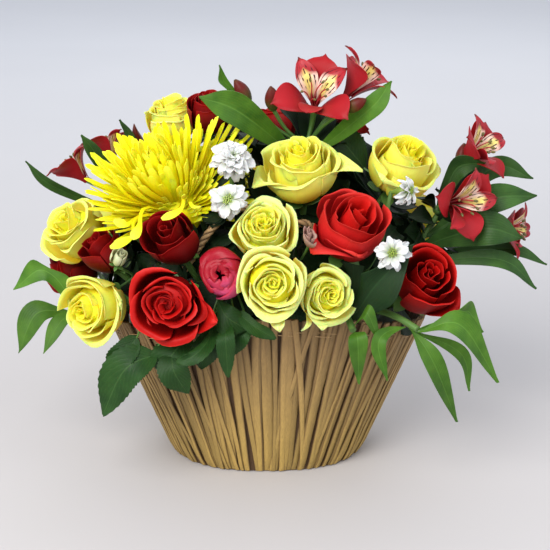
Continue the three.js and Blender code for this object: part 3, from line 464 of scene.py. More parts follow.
def on_wall(turn, z, inset):
    """A point of the wall at this turn and height, inset from its outer face."""
    c, s = np.cos(2 * np.pi * turn), np.sin(2 * np.pi * turn)
    r = (np.abs(c) ** SQUARENESS + np.abs(s) ** SQUARENESS) ** (-1 / SQUARENESS)
    x, y = (half_x(z) - inset) * r * c, (half_y(z) - inset) * r * s
    return np.stack([x, y, z + 0 * x], -1)


# ---- Stems: the same rule as their solids, so that they stand in the foam's holes ----


def foot_of(bloom):
    """Where a bloom's stem ends: in the head where both are one solid, or in the green cup."""
    return bloom.out(0.1 - BASE if bloom.name in whole_roses else 0.05 - BASE - CUP)


def stem_start(first):
    """Where a stem starts in the foam, and the way in which it leaves for its first point."""
    lead = unit(np.array(first, float) - STEM_CORE)
    return lead * STEM_START + STEM_CORE, lead


def stem_line(end, way):
    """A stem's points from the foam to its end, which it reaches in this way."""
    start, lead = stem_start(end)
    span = np.linalg.norm(end - start)
    t = np.linspace(0, 1, 10)[:, None]
    return bezier([start, start + 0.4 * span * lead, end - 0.3 * span * unit(way), end], t)


def side_stem(fork, end, bloom):
    """The three points of a side stem, whose last part comes up along its bloom's axis."""
    knee = mix(fork, end, 0.6) - 0.15 * np.linalg.norm(end - fork) * bloom.face
    return [fork, knee, end]


def over_rim(p, room):
    """Lifts points over the basket's rim where they lie in or close to the wall."""

    def share(inset):
        x = np.abs(p[:, 0]) / (half_x(p[:, 2]) - inset)
        y = np.abs(p[:, 1]) / (half_y(p[:, 2]) - inset)
        return x**SQUARENESS + y**SQUARENESS

    turn = np.arctan2(p[:, 1] / FOOT_HALF_Y, p[:, 0] / FOOT_HALF_X) / (2 * np.pi)
    in_wall = (share(WALL + LINER_INSET) > 1) & (share(-room - 3) < 1)
    p[:, 2] = np.where(in_wall, np.maximum(p[:, 2], rim_height(turn) + room), p[:, 2])
    return p


def handle_line(side):
    """A handle's centre line: an arch between its two ends, which go down inside the wall."""
    steps = 14

    def depth(x, z):
        across = np.abs(x) / (half_x(z) - WALL)
        inside = (half_y(z) - WALL) * (1 - across**SQUARENESS) ** (1 / SQUARENESS)
        return inside - CORD_RADIUS - 4 * FIT

    a = np.pi * np.arange(steps + 1) / steps
    rise = np.sin(a) ** 0.85
    x = HANDLE_SHIFT * rise - HANDLE_HALF_SPAN * np.cos(a)
    y = side * (depth(x, ARCH_FOOT) - HANDLE_LEAN * rise**2)
    arch = np.stack([x, y, mix(ARCH_FOOT, HANDLE_APEX, rise)], -1)
    for head in heads:
        away = arch - foot_of(head)
        far = np.linalg.norm(away, axis=-1, keepdims=True)
        keep = CORD_RADIUS + 0.26 * head.radius
        arch = np.where(far < keep, arch + away / far * (keep - far), arch)
    arch = bend_clear(arch, CLEAR + CORD_RADIUS)
    y = side * depth(HANDLE_HALF_SPAN, HANDLE_FOOT)
    left, right = ([s * HANDLE_HALF_SPAN, y, HANDLE_FOOT] for s in (-1, 1))
    return curve_through([left, *arch, right], 120)


def plants_at_first():
    """Each plant's stem radius, the lines of its stems and the blooms that they may touch."""
    plants = {}
    for name, rose in roses.items():
        plant = name if name in whole_roses else f"{name}_stem"
        plants[plant] = (ROSE_STEM, [stem_line(foot_of(rose), rose.face)], [name])
    line = stem_line(foot_of(pink_bloom), pink_bloom.face)
    plants["pink_bloom_stem"] = (ROSE_STEM, [line], ["pink_bloom"])
    carried = {**spray_roses, **daisies}
    for name, (fork, names) in SPRAYS.items():
        fork = np.array(fork, float)
        lines = [stem_line(fork, [0, -0.2, 1])]
        for bloom in (carried[n] for n in names):
            t = np.linspace(0, 1, 5)[:, None]
            lines.append(bezier(side_stem(fork, foot_of(bloom), bloom), t))
        plants[name] = (THIN_STEM, lines, names)
    mum_end = MUM_AT - 0.3 * MUM_RADIUS * unit(MUM_FACE)
    plants["chrysanthemum_stem"] = (ROSE_STEM, [stem_line(mum_end, MUM_FACE)], [])
    for name, (hub, _, _) in UMBELS.items():
        end = np.array(hub, float) - (HUB + FIT) * UP
        plants[f"{name}_stem"] = (ROSE_STEM, [stem_line(end, UP)], [])
    for name, through in LEAFY_STEMS.items():
        line = curve_through([stem_start(through[0])[0], *through], 10)
        plants[name] = (ROSE_STEM, [line], [])
    return plants


def all_stems():
    """Every plant's stem radius and lines, pushed apart in rounds where they run too close."""
    rounds, push_share, ease_share = 60, 0.4, 0.12
    plants = plants_at_first()
    cords = np.concatenate([handle_line(-1)[::2], handle_line(1)[::2]])
    flat = [(n, r, line, skip) for n, (r, lines, skip) in plants.items() for line in lines]
    for _ in range(rounds):
        for name, radius, line, skip in flat:
            others = [(q, r) for n, r, q, _ in flat if n != name] + [(cords, CORD_RADIUS)]
            q = np.concatenate([o for o, _ in others])
            need = radius + STEM_ROOM + np.concatenate([np.full(len(o), r) for o, r in others])
            away = line[:-1, None] - q
            gap = np.maximum(np.linalg.norm(away, axis=-1), 1e-6)
            push = np.where(gap < need, push_share * (need - gap) / gap, 0)
            line[:-1] += (push[..., None] * away).sum(1)
            inner = mix(line[1:-1], (line[:-2] + line[2:]) / 2, ease_share)
            inner = bend_off(inner, CLEAR + radius, skip)
            line[1:-1] = over_rim(inner, 2 + radius)
    return {name: (radius, lines) for name, (radius, lines, _) in plants.items()}


# ---- Meshes ----


class Blades:
    """Thin closed blades and round bars gathered for one mesh. Each point knows where it lies on
    its blade (u across, v along) and its blade's own tone, which the finishes read."""

    def __init__(self):
        self.points, self.faces, self.places, self.tones = [], [], [], []
        self.count = 0

    def take(self, points, faces, u, v, tone, kind):
        self.points.append(points.reshape(-1, 3))
        self.faces.append((faces + self.count, kind))
        self.places.append(np.stack([u.ravel(), v.ravel()], -1))
        self.tones.append(np.full(u.size, tone))
        self.count += u.size

    def sheet(self, grid, thick, tone, kind=BLADE):
        """A closed blade about a grid of points, rows along and columns across."""
        rows, columns = grid.shape[:2]
        n = np.cross(np.gradient(grid, axis=1), np.gradient(grid, axis=0))
        n /= np.maximum(np.linalg.norm(n, axis=-1, keepdims=True), 1e-9)
        both = np.concatenate([grid + n * thick / 2, grid - n * thick / 2])
        k = np.arange(rows * columns).reshape(rows, columns)
        front = np.stack([k[:-1, :-1], k[:-1, 1:], k[1:, 1:], k[1:, :-1]], -1).reshape(-1, 4)
        back = front[:, ::-1] + rows * columns
        rim = np.concatenate([k[0, :-1], k[:-1, -1], k[-1, :0:-1], k[:0:-1, 0]])
        after = np.roll(rim, -1)
        edge = np.stack([after, rim, rim + rows * columns, after + rows * columns], -1)
        v, u = np.meshgrid(np.linspace(0, 1, rows), np.linspace(0, 1, columns), indexing="ij")
        faces = np.concatenate([front, back, edge])
        self.take(both, faces, np.concatenate([u, u]), np.concatenate([v, v]), tone, kind)

    def bar(self, line, radii, sides, tone, kind=BLADE):
        """A bar along a line, closed at both ends. Its radii may change along it."""
        line = np.asarray(line, float)
        radii = np.broadcast_to(radii, len(line)).astype(float)
        along = unit(np.gradient(line, axis=0))
        side = np.cross(along[0], [0.3, 0.5, 0.8])  # any way that no bar starts along
        a = 2 * np.pi * np.arange(sides)[:, None] / sides
        rings = []
        for p, t, r in zip(line, along, radii):
            side = unit(side - t * (side @ t))
            rings.append(p + r * (np.cos(a) * side + np.sin(a) * np.cross(t, side)))
        self.rings(np.array(rings), tone, kind)

    def rings(self, rings, tone, kind=BLADE):
        """A closed body through rings of points, each a turn anticlockwise about the way ahead.
        The first and last ring are drawn in to nearly a point, which closes the body."""
        caps = [rings[:1].mean(1, keepdims=True), rings[-1:].mean(1, keepdims=True)]
        start, end = (mix(r, c, 0.999) for r, c in zip((rings[:1], rings[-1:]), caps))
        rings = np.concatenate([start, rings, end])
        count, sides = rings.shape[:2]
        k = np.arange(count * sides).reshape(count, sides)
        after = np.roll(k, -1, axis=1)
        faces = np.stack([k[:-1], after[:-1], after[1:], k[1:]], -1).reshape(-1, 4)
        v, u = np.meshgrid(np.linspace(0, 1, count), np.arange(sides) / sides, indexing="ij")
        self.take(rings, faces, u, v, tone, kind)

    def mesh(self, name):
        points = np.concatenate(self.points) * MM
        faces = np.concatenate([f for f, _ in self.faces])
        kinds = np.concatenate([np.full(len(f), k) for f, k in self.faces])
        mesh = bpy.data.meshes.new(name)
        mesh.from_pydata(points.tolist(), [], faces.tolist())
        corners = np.empty(len(mesh.loops), np.int32)
        mesh.loops.foreach_get("vertex_index", corners)
        places = np.concatenate(self.places)[corners].astype(np.float32)
        mesh.uv_layers.new(name="UVMap").data.foreach_set("uv", places.ravel())
        tones = np.concatenate(self.tones).astype(np.float32)
        mesh.attributes.new("tone", "FLOAT", "POINT").data.foreach_set("value", tones)
        mesh.polygons.foreach_set("material_index", kinds.astype(np.int32))
        mesh.polygons.foreach_set("use_smooth", np.ones(len(faces), bool))
        mesh.set_sharp_from_angle(angle=math.radians(62))
        mesh.validate()
        return mesh


def shown(mesh, slot, *nodes):
    """Puts a mesh in the scene as a piece that stands for these nodes."""
    piece = bpy.data.objects.new(mesh.name, mesh)
    bpy.context.scene.collection.objects.link(piece)
    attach(piece, "root")
    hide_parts(*nodes)


def dressed(name, blades, slot, finishes, *nodes):
    """A piece made of blades. The kind of each blade is the number of its finish."""
    mesh = blades.mesh(name)
    for finish in finishes:
        mesh.materials.append(finish)
    shown(mesh, slot, *nodes)


# ---- Finishes ----


def new_node(tree, kind, inputs=(), **settings):
    """A node with its settings, and its inputs by name or number, each a value or a socket."""
    made = tree.nodes.new(kind)
    for key, value in settings.items():
        setattr(made, key, value)
    for key, value in dict(inputs).items():
        if isinstance(value, bpy.types.NodeSocket):
            tree.links.new(value, made.inputs[key])
        else:
            made.inputs[key].default_value = value
    return made


class Finish:
    """A material made of nodes on a Principled shader."""

    def __init__(self, name, **constants):
        self.material = bpy.data.materials.new(name)
        self.material.use_nodes = True
        self.tree = self.material.node_tree
        self.shader = self.tree.nodes["Principled BSDF"]
        for socket, value in constants.items():
            self.set(socket.replace("_", " "), value)

    def set(self, socket, value):
        self.shader.inputs[socket].default_value = value

    def node(self, kind, inputs=(), **settings):
        return new_node(self.tree, kind, inputs, **settings)

    def into(self, socket, value):
        self.tree.links.new(value, self.shader.inputs[socket])

    def place(self):
        """Where a point lies on its blade: both measures, then u across and v along."""
        uv = self.node("ShaderNodeUVMap", uv_map="UVMap")
        parts = self.node("ShaderNodeSeparateXYZ", {0: uv.outputs[0]})
        return uv.outputs[0], parts.outputs[0], parts.outputs[1]

    def spot(self):
        return self.node("ShaderNodeTexCoord").outputs["Object"]

    def stored(self, name):
        return self.node("ShaderNodeAttribute", attribute_name=name).outputs["Fac"]

    def tone(self):
        return self.stored("tone")

    def sums(self, operation, a, b=0.0):
        return self.node("ShaderNodeMath", {0: a, 1: b}, operation=operation).outputs[0]

    def plus(self, a, b):
        return self.sums("ADD", a, b)

    def less(self, a, b):
        return self.sums("SUBTRACT", a, b)

    def times(self, a, b):
        return self.sums("MULTIPLY", a, b)

    def absolute(self, a):
        return self.sums("ABSOLUTE", a)

    def ramp(self, value, *stops):
        made = self.node("ShaderNodeValToRGB", {0: value})
        elements = made.color_ramp.elements
        while len(elements) < len(stops):
            elements.new(0.5)
        for element, (position, colour) in zip(elements, stops):
            element.position = position
            element.color = (*(colour if isinstance(colour, tuple) else [colour] * 3), 1)
        return made.outputs[0]

    def span(self, value, low=0.0, high=1.0, start=0.0, end=1.0):
        """A value that runs from low to high while the given one runs from start to end."""
        inputs = {"From Min": start, "From Max": end, "To Min": low, "To Max": high}
        return self.node("ShaderNodeMapRange", {"Value": value, **inputs}).outputs[0]

    def blend(self, share, a, b):
        """A colour mixed from two. Inputs 6 and 7 of the mix node are its colours."""
        inputs = {0: share, 6: a, 7: b}
        inputs = {k: (*v, 1) if isinstance(v, tuple) else v for k, v in inputs.items()}
        return self.node("ShaderNodeMix", inputs, data_type="RGBA").outputs[2]

    def speckle(self, vector, scale, stretch=(1, 1, 1), detail=3.0):
        moved = self.node("ShaderNodeMapping", {0: vector, 3: stretch}).outputs[0]
        made = self.node("ShaderNodeTexNoise", {0: moved, "Scale": scale, "Detail": detail})
        return made.outputs[0]

    def shade(self, colour, tone, low, high):
        """Darkens or lightens a colour by a tone from 0 to 1."""
        inputs = {"Value": self.span(tone, low, high), "Color": colour}
        return self.node("ShaderNodeHueSaturation", inputs).outputs[0]

    def bump(self, height, strength, depth):
        inputs = {"Strength": strength, "Distance": depth, "Height": height}
        self.into("Normal", self.node("ShaderNodeBump", inputs).outputs[0])

    def rough(self, value, low, high):
        self.into("Roughness", self.span(value, low, high))


def petal_finish(name, throat_and_shade, body, outer, lip, rim=0.9, gloss=0.5, glow=0.1, deep=(0.12, 0.62)):
    """A petal: a throat colour at its foot and a lip colour at its top, fine veins and soft
    blotches.
    The dark throat of red petals is painted shade. Where the lip is lighter it is a painted
    highlight along the top edge, and on yellow petals it is also their own paler edge. The tone of
    a petal tells how far out it grows, and the outer petals have a colour of their own."""
    f = Finish(name, Subsurface_Weight=glow, Subsurface_Scale=0.003, Specular_IOR_Level=0.18)
    f.set("Subsurface Radius", (1.0, 0.35, 0.2))
    uv, _, v = f.place()
    flesh = f.blend(f.ramp(f.tone(), (0.35, 0.0), (1.0, 1.0)), body, outer)
    # The throat colour: on red petals painted shade that fades into the body, on yellow ones their
    # own deeper orange
    colour = f.blend(f.ramp(v, (deep[0], 0.0), (deep[1], 1.0)), throat_and_shade, flesh)
    # The lip colour, where lighter than the body, is a painted highlight along the top edge; on
    # yellow petals also their own paler edge
    near_lip = f.ramp(v, (rim, 0.0), (1.0, 1.0))
    by_tone = f.ramp(f.tone(), (0.2, 0.25), (0.8, 1.0))
    colour = f.blend(f.times(near_lip, by_tone), colour, lip)
    blotch = f.speckle(f.spot(), 130)
    veins = f.speckle(uv, 1.0, (46, 2.5, 1), 2.0)
    colour = f.shade(colour, blotch, 0.86, 1.08)
    colour = f.shade(colour, veins, 0.94, 1.05)
    f.into("Base Color", colour)
    f.rough(blotch, gloss - 0.06, gloss + 0.16)
    f.bump(veins, 0.3, 0.0003)
    return f.material


def guide_finish(name, petal, patch):
    """The inner petals of alstroemeria: a pale yellow patch with dark dashes that run along it."""
    f = Finish(name, Subsurface_Weight=0.15, Subsurface_Scale=0.002, Specular_IOR_Level=0.25)
    uv, u, v = f.place()
    across = f.absolute(f.less(u, 0.5))
    blotch = f.speckle(f.spot(), 160)
    wander = f.plus(f.plus(v, f.times(across, 0.35)), f.times(blotch, 0.16))
    pale = f.ramp(wander, (0.3, 0.0), (0.36, 1.0), (0.74, 1.0), (0.86, 0.0))
    yellow = f.ramp(across, (0.1, patch), (0.32, (0.86, 0.62, 0.5)))
    red = f.ramp(v, (0.2, (0.2, 0.01, 0.012)), (0.9, petal), (1.0, (0.1, 0.02, 0.01)))
    rows = f.absolute(f.sums("SINE", f.plus(f.times(u, 17.0), blotch)))
    dashes = f.speckle(uv, 1.0, (9, 8, 1), 0.0)
    in_row, in_dash = f.ramp(rows, (0.4, 1.0), (0.6, 0.0)), f.ramp(dashes, (0.48, 0.0), (0.51, 1.0))
    in_patch = f.ramp(v, (0.34, 0.0), (0.42, 1.0), (0.84, 1.0), (0.9, 0.0))
    strokes = f.times(f.times(in_row, in_dash), in_patch)
    colour = f.blend(strokes, f.blend(pale, red, yellow), (0.05, 0.004, 0.008))
    f.into("Base Color", f.shade(colour, f.tone(), 0.85, 1.12))
    f.rough(blotch, 0.35, 0.5)
    f.bump(dashes, 0.2, 0.0003)
    return f.material


def leaf_finish(name, low, high, rib, ribs, gloss, fanned=False):
    """A leaf: a pale midrib, side veins that fan out or run along it, and a waxy shine."""
    f = Finish(name, Subsurface_Weight=0.05, Subsurface_Scale=0.001, Specular_IOR_Level=0.2)
    _, u, v = f.place()
    across = f.absolute(f.less(u, 0.5))
    blotch = f.speckle(f.spot(), 70)
    colour = f.ramp(blotch, (0.3, low), (0.7, high))
    fan = f.less(f.times(v, ribs), f.times(across, 0.9 * ribs))
    line = fan if fanned else f.times(u, ribs)
    wave = f.sums("POWER", f.absolute(f.sums("SINE", f.times(line, math.pi))), 0.35)
    veins = f.less(1.0, wave)
    colour = f.blend(f.times(veins, 0.2), colour, rib)
    middle = f.ramp(across, (0.008, 1.0), (0.03, 0.0))
    colour = f.blend(f.times(middle, 0.6), colour, rib)
    f.into("Base Color", f.shade(colour, f.tone(), 0.62, 1.3))
    f.rough(blotch, gloss, gloss + 0.15)
    f.bump(f.plus(veins, middle), 0.35, -0.0004)
    return f.material


def stem_finish(name, colour, tip):
    f = Finish(name, Subsurface_Weight=0.08, Subsurface_Scale=0.001)
    uv, _, v = f.place()
    fibres = f.speckle(uv, 1.0, (14, 2, 1))
    body = f.ramp(v, (0.1, colour), (1.0, tip))
    f.into("Base Color", f.shade(f.shade(body, fibres, 0.8, 1.2), f.tone(), 0.7, 1.25))
    f.rough(fibres, 0.38, 0.55)
    f.bump(fibres, 0.3, 0.0003)
    return f.material


def kraft_finish(name, low, high, shades):
    """Twisted kraft paper: fine fibres, soft creases, darker towards the rim, painted shade along
    the strips' edges, and each strip with its own tone."""
    f = Finish(name)
    spot = f.spot()
    fibres = f.speckle(spot, 1.0, (1500, 1500, 90), 4.0)
    creases = f.speckle(spot, 1.0, (260, 260, 9), 2.0)
    height = f.node("ShaderNodeSeparateXYZ", {0: spot}).outputs[2]
    up_wall = f.span(height, end=0.12)  # metres, about the rim's height
    colour = f.ramp(up_wall, (0.1, low), (0.85, high))
    colour = f.shade(colour, fibres, 0.72, 1.28)
    colour = f.shade(colour, creases, 0.78, 1.2)
    # Painted shade: the strips' edges darken towards a near-black brown
    edge = f.ramp(f.stored("edge"), (0.62, 0.0), (1.0, 0.85))
    colour = f.blend(edge, colour, (0.075, 0.035, 0.012))
    f.into("Base Color", f.shade(colour, f.tone(), *shades))
    f.rough(fibres, 0.62, 0.85)
    f.bump(f.plus(fibres, f.times(creases, 2.5)), 0.5, 0.0006)
    return f.material


def foam_finish():
    f = Finish("wet_foam")
    cells = f.node("ShaderNodeTexVoronoi", {0: f.spot(), "Scale": 900}).outputs[0]
    f.into("Base Color", f.ramp(cells, (0.1, (0.012, 0.035, 0.014)), (0.7, (0.035, 0.085, 0.032))))
    f.rough(cells, 0.7, 0.95)
    f.bump(cells, 0.7, 0.0005)
    return f.material


def film_finish():
    f = Finish("liner_film", Transmission_Weight=0.5, IOR=1.45)
    cloud = f.speckle(f.spot(), 60)
    f.into("Base Color", f.ramp(cloud, (0.3, (0.55, 0.6, 0.56)), (0.7, (0.75, 0.79, 0.76))))
    f.rough(cloud, 0.12, 0.3)
    f.bump(cloud, 0.2, 0.0004)
    return f.material


# Petals: colour in the throat (painted shade on the red ones), of the inner and of the outer
# petals, and of the lip (a painted highlight where lighter, on yellow petals also their own paler
# edge)
yellow_rose = petal_finish(
    "yellow_rose_petal",
    (0.86, 0.56, 0.001), (0.92, 0.79, 0.003), (0.86, 0.82, 0.16), (0.87, 0.83, 0.2),
    rim=0.5, glow=0.6,
)
spray_yellow = petal_finish(
    "spray_rose_petal",
    (0.86, 0.62, 0.001), (0.9, 0.8, 0.004), (0.84, 0.82, 0.25), (0.84, 0.83, 0.28),
    rim=0.5, glow=0.65,
)
# Red petals: the dark throat is painted shade and the lighter lip a painted highlight
red_rose = petal_finish(
    "red_rose_petal",
    (0.2, 0.0, 0.0), (0.48, 0.003, 0.002), (0.54, 0.007, 0.004), (0.6, 0.02, 0.014),
    rim=0.86, deep=(0.45, 0.96),
)
dark_rose = petal_finish(
    "dark_red_petal",
    (0.08, 0.0, 0.0), (0.26, 0.001, 0.001), (0.28, 0.002, 0.002), (0.34, 0.008, 0.006),
    rim=0.86, deep=(0.4, 0.95),
)
flame_rose = petal_finish(
    "flame_petal",
    (0.3, 0.001, 0.001), (0.55, 0.005, 0.003), (0.56, 0.022, 0.022), (0.6, 0.03, 0.02),
    rim=0.6,
)
pink_petal = petal_finish(
    "pink_petal",
    (0.12, 0.0, 0.004), (0.3, 0.006, 0.016), (0.52, 0.06, 0.15), (0.42, 0.02, 0.04),
    rim=0.7, gloss=0.35,
)
mum_floret = petal_finish(
    "mum_floret",
    (0.88, 0.68, 0.0), (0.92, 0.81, 0.001), (0.9, 0.82, 0.01), (0.87, 0.83, 0.06),
    rim=0.6, gloss=0.6, glow=0.5,
)
white_petal = petal_finish(
    "daisy_petal",
    (0.4, 0.46, 0.3), (0.68, 0.68, 0.66), (0.7, 0.7, 0.7), (0.72, 0.72, 0.72),
    rim=0.8, gloss=0.55,
)
lily_petal = petal_finish(
    "lily_petal",
    (0.2, 0.004, 0.006), (0.34, 0.008, 0.012), (0.44, 0.022, 0.034), (0.12, 0.008, 0.006),
    gloss=0.4,
)
lily_bud_skin = petal_finish(
    "lily_bud",
    (0.06, 0.1, 0.02), (0.1, 0.009, 0.006), (0.12, 0.012, 0.008), (0.05, 0.05, 0.012),
    rim=0.8, gloss=0.4,
)
pale_bud = petal_finish(
    "pale_bud",
    (0.4, 0.46, 0.16), (0.6, 0.62, 0.36), (0.62, 0.64, 0.4), (0.6, 0.62, 0.34),
    rim=0.8,
)
withered = petal_finish(
    "withered_petal",
    (0.24, 0.13, 0.08), (0.4, 0.24, 0.19), (0.46, 0.32, 0.27), (0.34, 0.2, 0.15),
    rim=0.8, gloss=0.75,
)
lily_guide = guide_finish("lily_guide_petal", (0.36, 0.018, 0.026), (0.8, 0.66, 0.2))
filament = stem_finish("lily_filament", (0.45, 0.03, 0.04), (0.4, 0.02, 0.03))
anther = stem_finish("lily_anther", (0.1, 0.09, 0.02), (0.16, 0.13, 0.03))
daisy_eye = stem_finish("daisy_eye", (0.1, 0.2, 0.02), (0.3, 0.4, 0.05))
stalk_green = stem_finish("stalk", (0.045, 0.12, 0.02), (0.1, 0.21, 0.04))
# Leaves: two greens that mingle, the ribs' green, how many ribs, and how dull
rose_leaf = leaf_finish(
    "rose_leaf", (0.008, 0.034, 0.005), (0.018, 0.06, 0.009), (0.04, 0.095, 0.022), 9, 0.45, True
)
lily_leaf = leaf_finish(
    "lily_leaf", (0.028, 0.09, 0.006), (0.07, 0.17, 0.014), (0.1, 0.22, 0.03), 13, 0.4
)
shade_leaf = leaf_finish(
    "shade_leaf", (0.012, 0.04, 0.007), (0.032, 0.085, 0.014), (0.05, 0.12, 0.025), 13, 0.36
)
# Near-black green: painted shade for leaves behind blooms and in the gaps between them
painted_shade_leaf = leaf_finish(
    "painted_shade_leaf", (0.004, 0.016, 0.003), (0.008, 0.028, 0.006), (0.015, 0.045, 0.012), 13, 0.5
)
# Paper: colour at the foot and at the rim, and how far single strips differ
kraft_strip = kraft_finish("kraft_strip", (0.385, 0.25, 0.062), (0.285, 0.175, 0.066), (0.62, 1.12))
# A near-black brown: painted shade for the lining seen in the gaps between the strips, and for the
# board
shaded_kraft = kraft_finish("shaded_kraft", (0.1, 0.05, 0.018), (0.09, 0.045, 0.018), (0.8, 1.1))
kraft_cord = kraft_finish("kraft_cord", (0.5, 0.32, 0.15), (0.5, 0.32, 0.15), (0.8, 1.1))


# ---- The geometry tree that sweeps a flattened profile along paths ----


def sweep_tree():
    """Paths in, strips or cords out. Each path point has its own width, tone and outward side."""
    tree = bpy.data.node_groups.new("sweep_along_paths", "GeometryNodeTree")
    given_sockets = []
    for label, kind, usual in (
        ("Paths", "Geometry", None),
        ("Profile sides", "Int", 8),
        ("Flatness", "Float", 0.5),
        ("Crumple", "Float", 0.0),
        ("Finish", "Material", None),
    ):
        kind = f"NodeSocket{kind}"
        socket = tree.interface.new_socket(label, in_out="INPUT", socket_type=kind)
        if usual is not None:
            socket.default_value = usual
        given_sockets.append(socket)
    tree.interface.new_socket("Mesh", in_out="OUTPUT", socket_type="NodeSocketGeometry")

    def node(kind, inputs=(), **settings):
        """The first output of a new node."""
        return new_node(tree, kind, inputs, **settings).outputs[0]

    def stored(name, data_type):
        return node("GeometryNodeInputNamedAttribute", {"Name": name}, data_type=data_type)

    given = new_node(tree, "NodeGroupInput").outputs
    # The paths, each facing outwards
    path = node("GeometryNodeMeshToCurve", {"Mesh": given["Paths"]})
    facing = {"Curve": path, "Normal": stored("outward", "FLOAT_VECTOR")}
    path = node("GeometryNodeSetCurveNormal", facing, mode="FREE")
    # The profile, a flattened circle whose outermost points are marked as edges, which the kraft
    # finishes darken as painted shade
    half_width = stored("half_width", "FLOAT")
    sides = {"Resolution": given["Profile sides"], "Radius": 1.0}
    profile = node("GeometryNodeCurvePrimitiveCircle", sides, mode="RADIUS")
    squash = node("ShaderNodeCombineXYZ", {"X": given["Flatness"], "Y": 1.0, "Z": 1.0})
    profile = node("GeometryNodeTransform", {"Geometry": profile, "Scale": squash})
    spot = node("GeometryNodeInputPosition")
    across = new_node(tree, "ShaderNodeSeparateXYZ", {"Vector": spot}).outputs["Y"]
    edge = node("ShaderNodeMath", {0: across}, operation="ABSOLUTE")
    marked = {"Geometry": profile, "Name": "edge", "Value": edge}
    kind = {"data_type": "FLOAT", "domain": "POINT"}
    profile = node("GeometryNodeStoreNamedAttribute", marked, **kind)
    along = {"Curve": path, "Profile Curve": profile, "Scale": half_width, "Fill Caps": True}
    mesh = node("GeometryNodeCurveToMesh", along)
    # The swept mesh, crumpled by noise
    noise = new_node(tree, "ShaderNodeTexNoise", {"Scale": 130.0}, noise_dimensions="3D")
    centred = {0: noise.outputs["Color"], 1: (0.5, 0.5, 0.5)}
    centred = node("ShaderNodeVectorMath", centred, operation="SUBTRACT")
    shift = node("ShaderNodeVectorMath", {0: centred, "Scale": given["Crumple"]}, operation="SCALE")
    mesh = node("GeometryNodeSetPosition", {"Geometry": mesh, "Offset": shift})
    mesh = node("GeometryNodeSetShadeSmooth", {"Geometry": mesh})
    mesh = node("GeometryNodeRealizeInstances", {"Geometry": mesh})
    mesh = node("GeometryNodeSetMaterial", {"Geometry": mesh, "Material": given["Finish"]})
    new_node(tree, "NodeGroupOutput", {"Mesh": mesh})
    return tree, {socket.name: socket.identifier for socket in given_sockets}


SWEEP, SWEEP_INPUTS = sweep_tree()


def applied(name, base, tree, inputs):
    """The plain mesh that a geometry tree makes of a base mesh."""
    carrier = bpy.data.objects.new(name, base)
    bpy.context.scene.collection.objects.link(carrier)
    modifier = carrier.modifiers.new("tree", "NODES")
    modifier.node_group = tree
    for identifier, value in inputs.items():
        modifier[identifier] = value
    ready = carrier.evaluated_get(bpy.context.evaluated_depsgraph_get())
    mesh = bpy.data.meshes.new_from_object(ready)
    carrier.modifiers.remove(modifier)
    bpy.data.objects.remove(carrier)
    mesh.name = name
    return mesh


def swept(name, paths, sides, flat, crumple, finish):
    """Sweeps paths, each (line, half width, tone, outward side), all in millimetres."""
    points = np.concatenate([line for line, _, _, _ in paths]) * MM
    ends = np.cumsum([len(line) for line, _, _, _ in paths])
    edges = [(k, k + 1) for k in range(len(points) - 1) if k + 1 not in ends]
    base = bpy.data.meshes.new(f"{name}_paths")
    base.from_pydata(points.tolist(), edges, [])
    widths = np.concatenate([np.broadcast_to(w, len(line)) for line, w, _, _ in paths]) * MM
    tones = np.concatenate([np.full(len(line), tone) for line, _, tone, _ in paths])
    sideways = np.concatenate([side for _, _, _, side in paths])
    for key, values in (("half_width", widths), ("tone", tones)):
        base.attributes.new(key, "FLOAT", "POINT").data.foreach_set("value", values)
    outward = base.attributes.new("outward", "FLOAT_VECTOR", "POINT")
    outward.data.foreach_set("vector", sideways.ravel())
    values = {"Profile sides": sides, "Flatness": flat, "Crumple": crumple * MM, "Finish": finish}
    return applied(name, base, SWEEP, {SWEEP_INPUTS[key]: value for key, value in values.items()})


# ---- The basket ----


def strip(rng, turn, lean, insets, shares, tones):
    """One paper strip up the wall. Its width is a share of the room that it has at each height."""
    inset, share, tone = (rng.uniform(*pair) for pair in (insets, shares, tones))
    steps = np.linspace(0, 1, 24)
    wander = 0.0012 * np.sin(steps * rng.uniform(2, 6) + rng.uniform(0, 6))
    turn = turn + lean * (steps - 0.5) + wander
    z = 0.9 + (rim_height(turn) - 0.9 + rng.uniform(-1.2, 0.6)) * steps
    line = on_wall(turn, z, inset + 1.1 * (1 - smooth(z, 0, 9)))
    room = 2 * np.pi * (half_x(z) + half_y(z)) / 2 / STRIPS
    width = share * room * (1 + 0.07 * np.sin(steps * rng.uniform(3, 8) + rng.uniform(0, 6)))
    return line, width, tone, unit(line * [1, 1, 0])


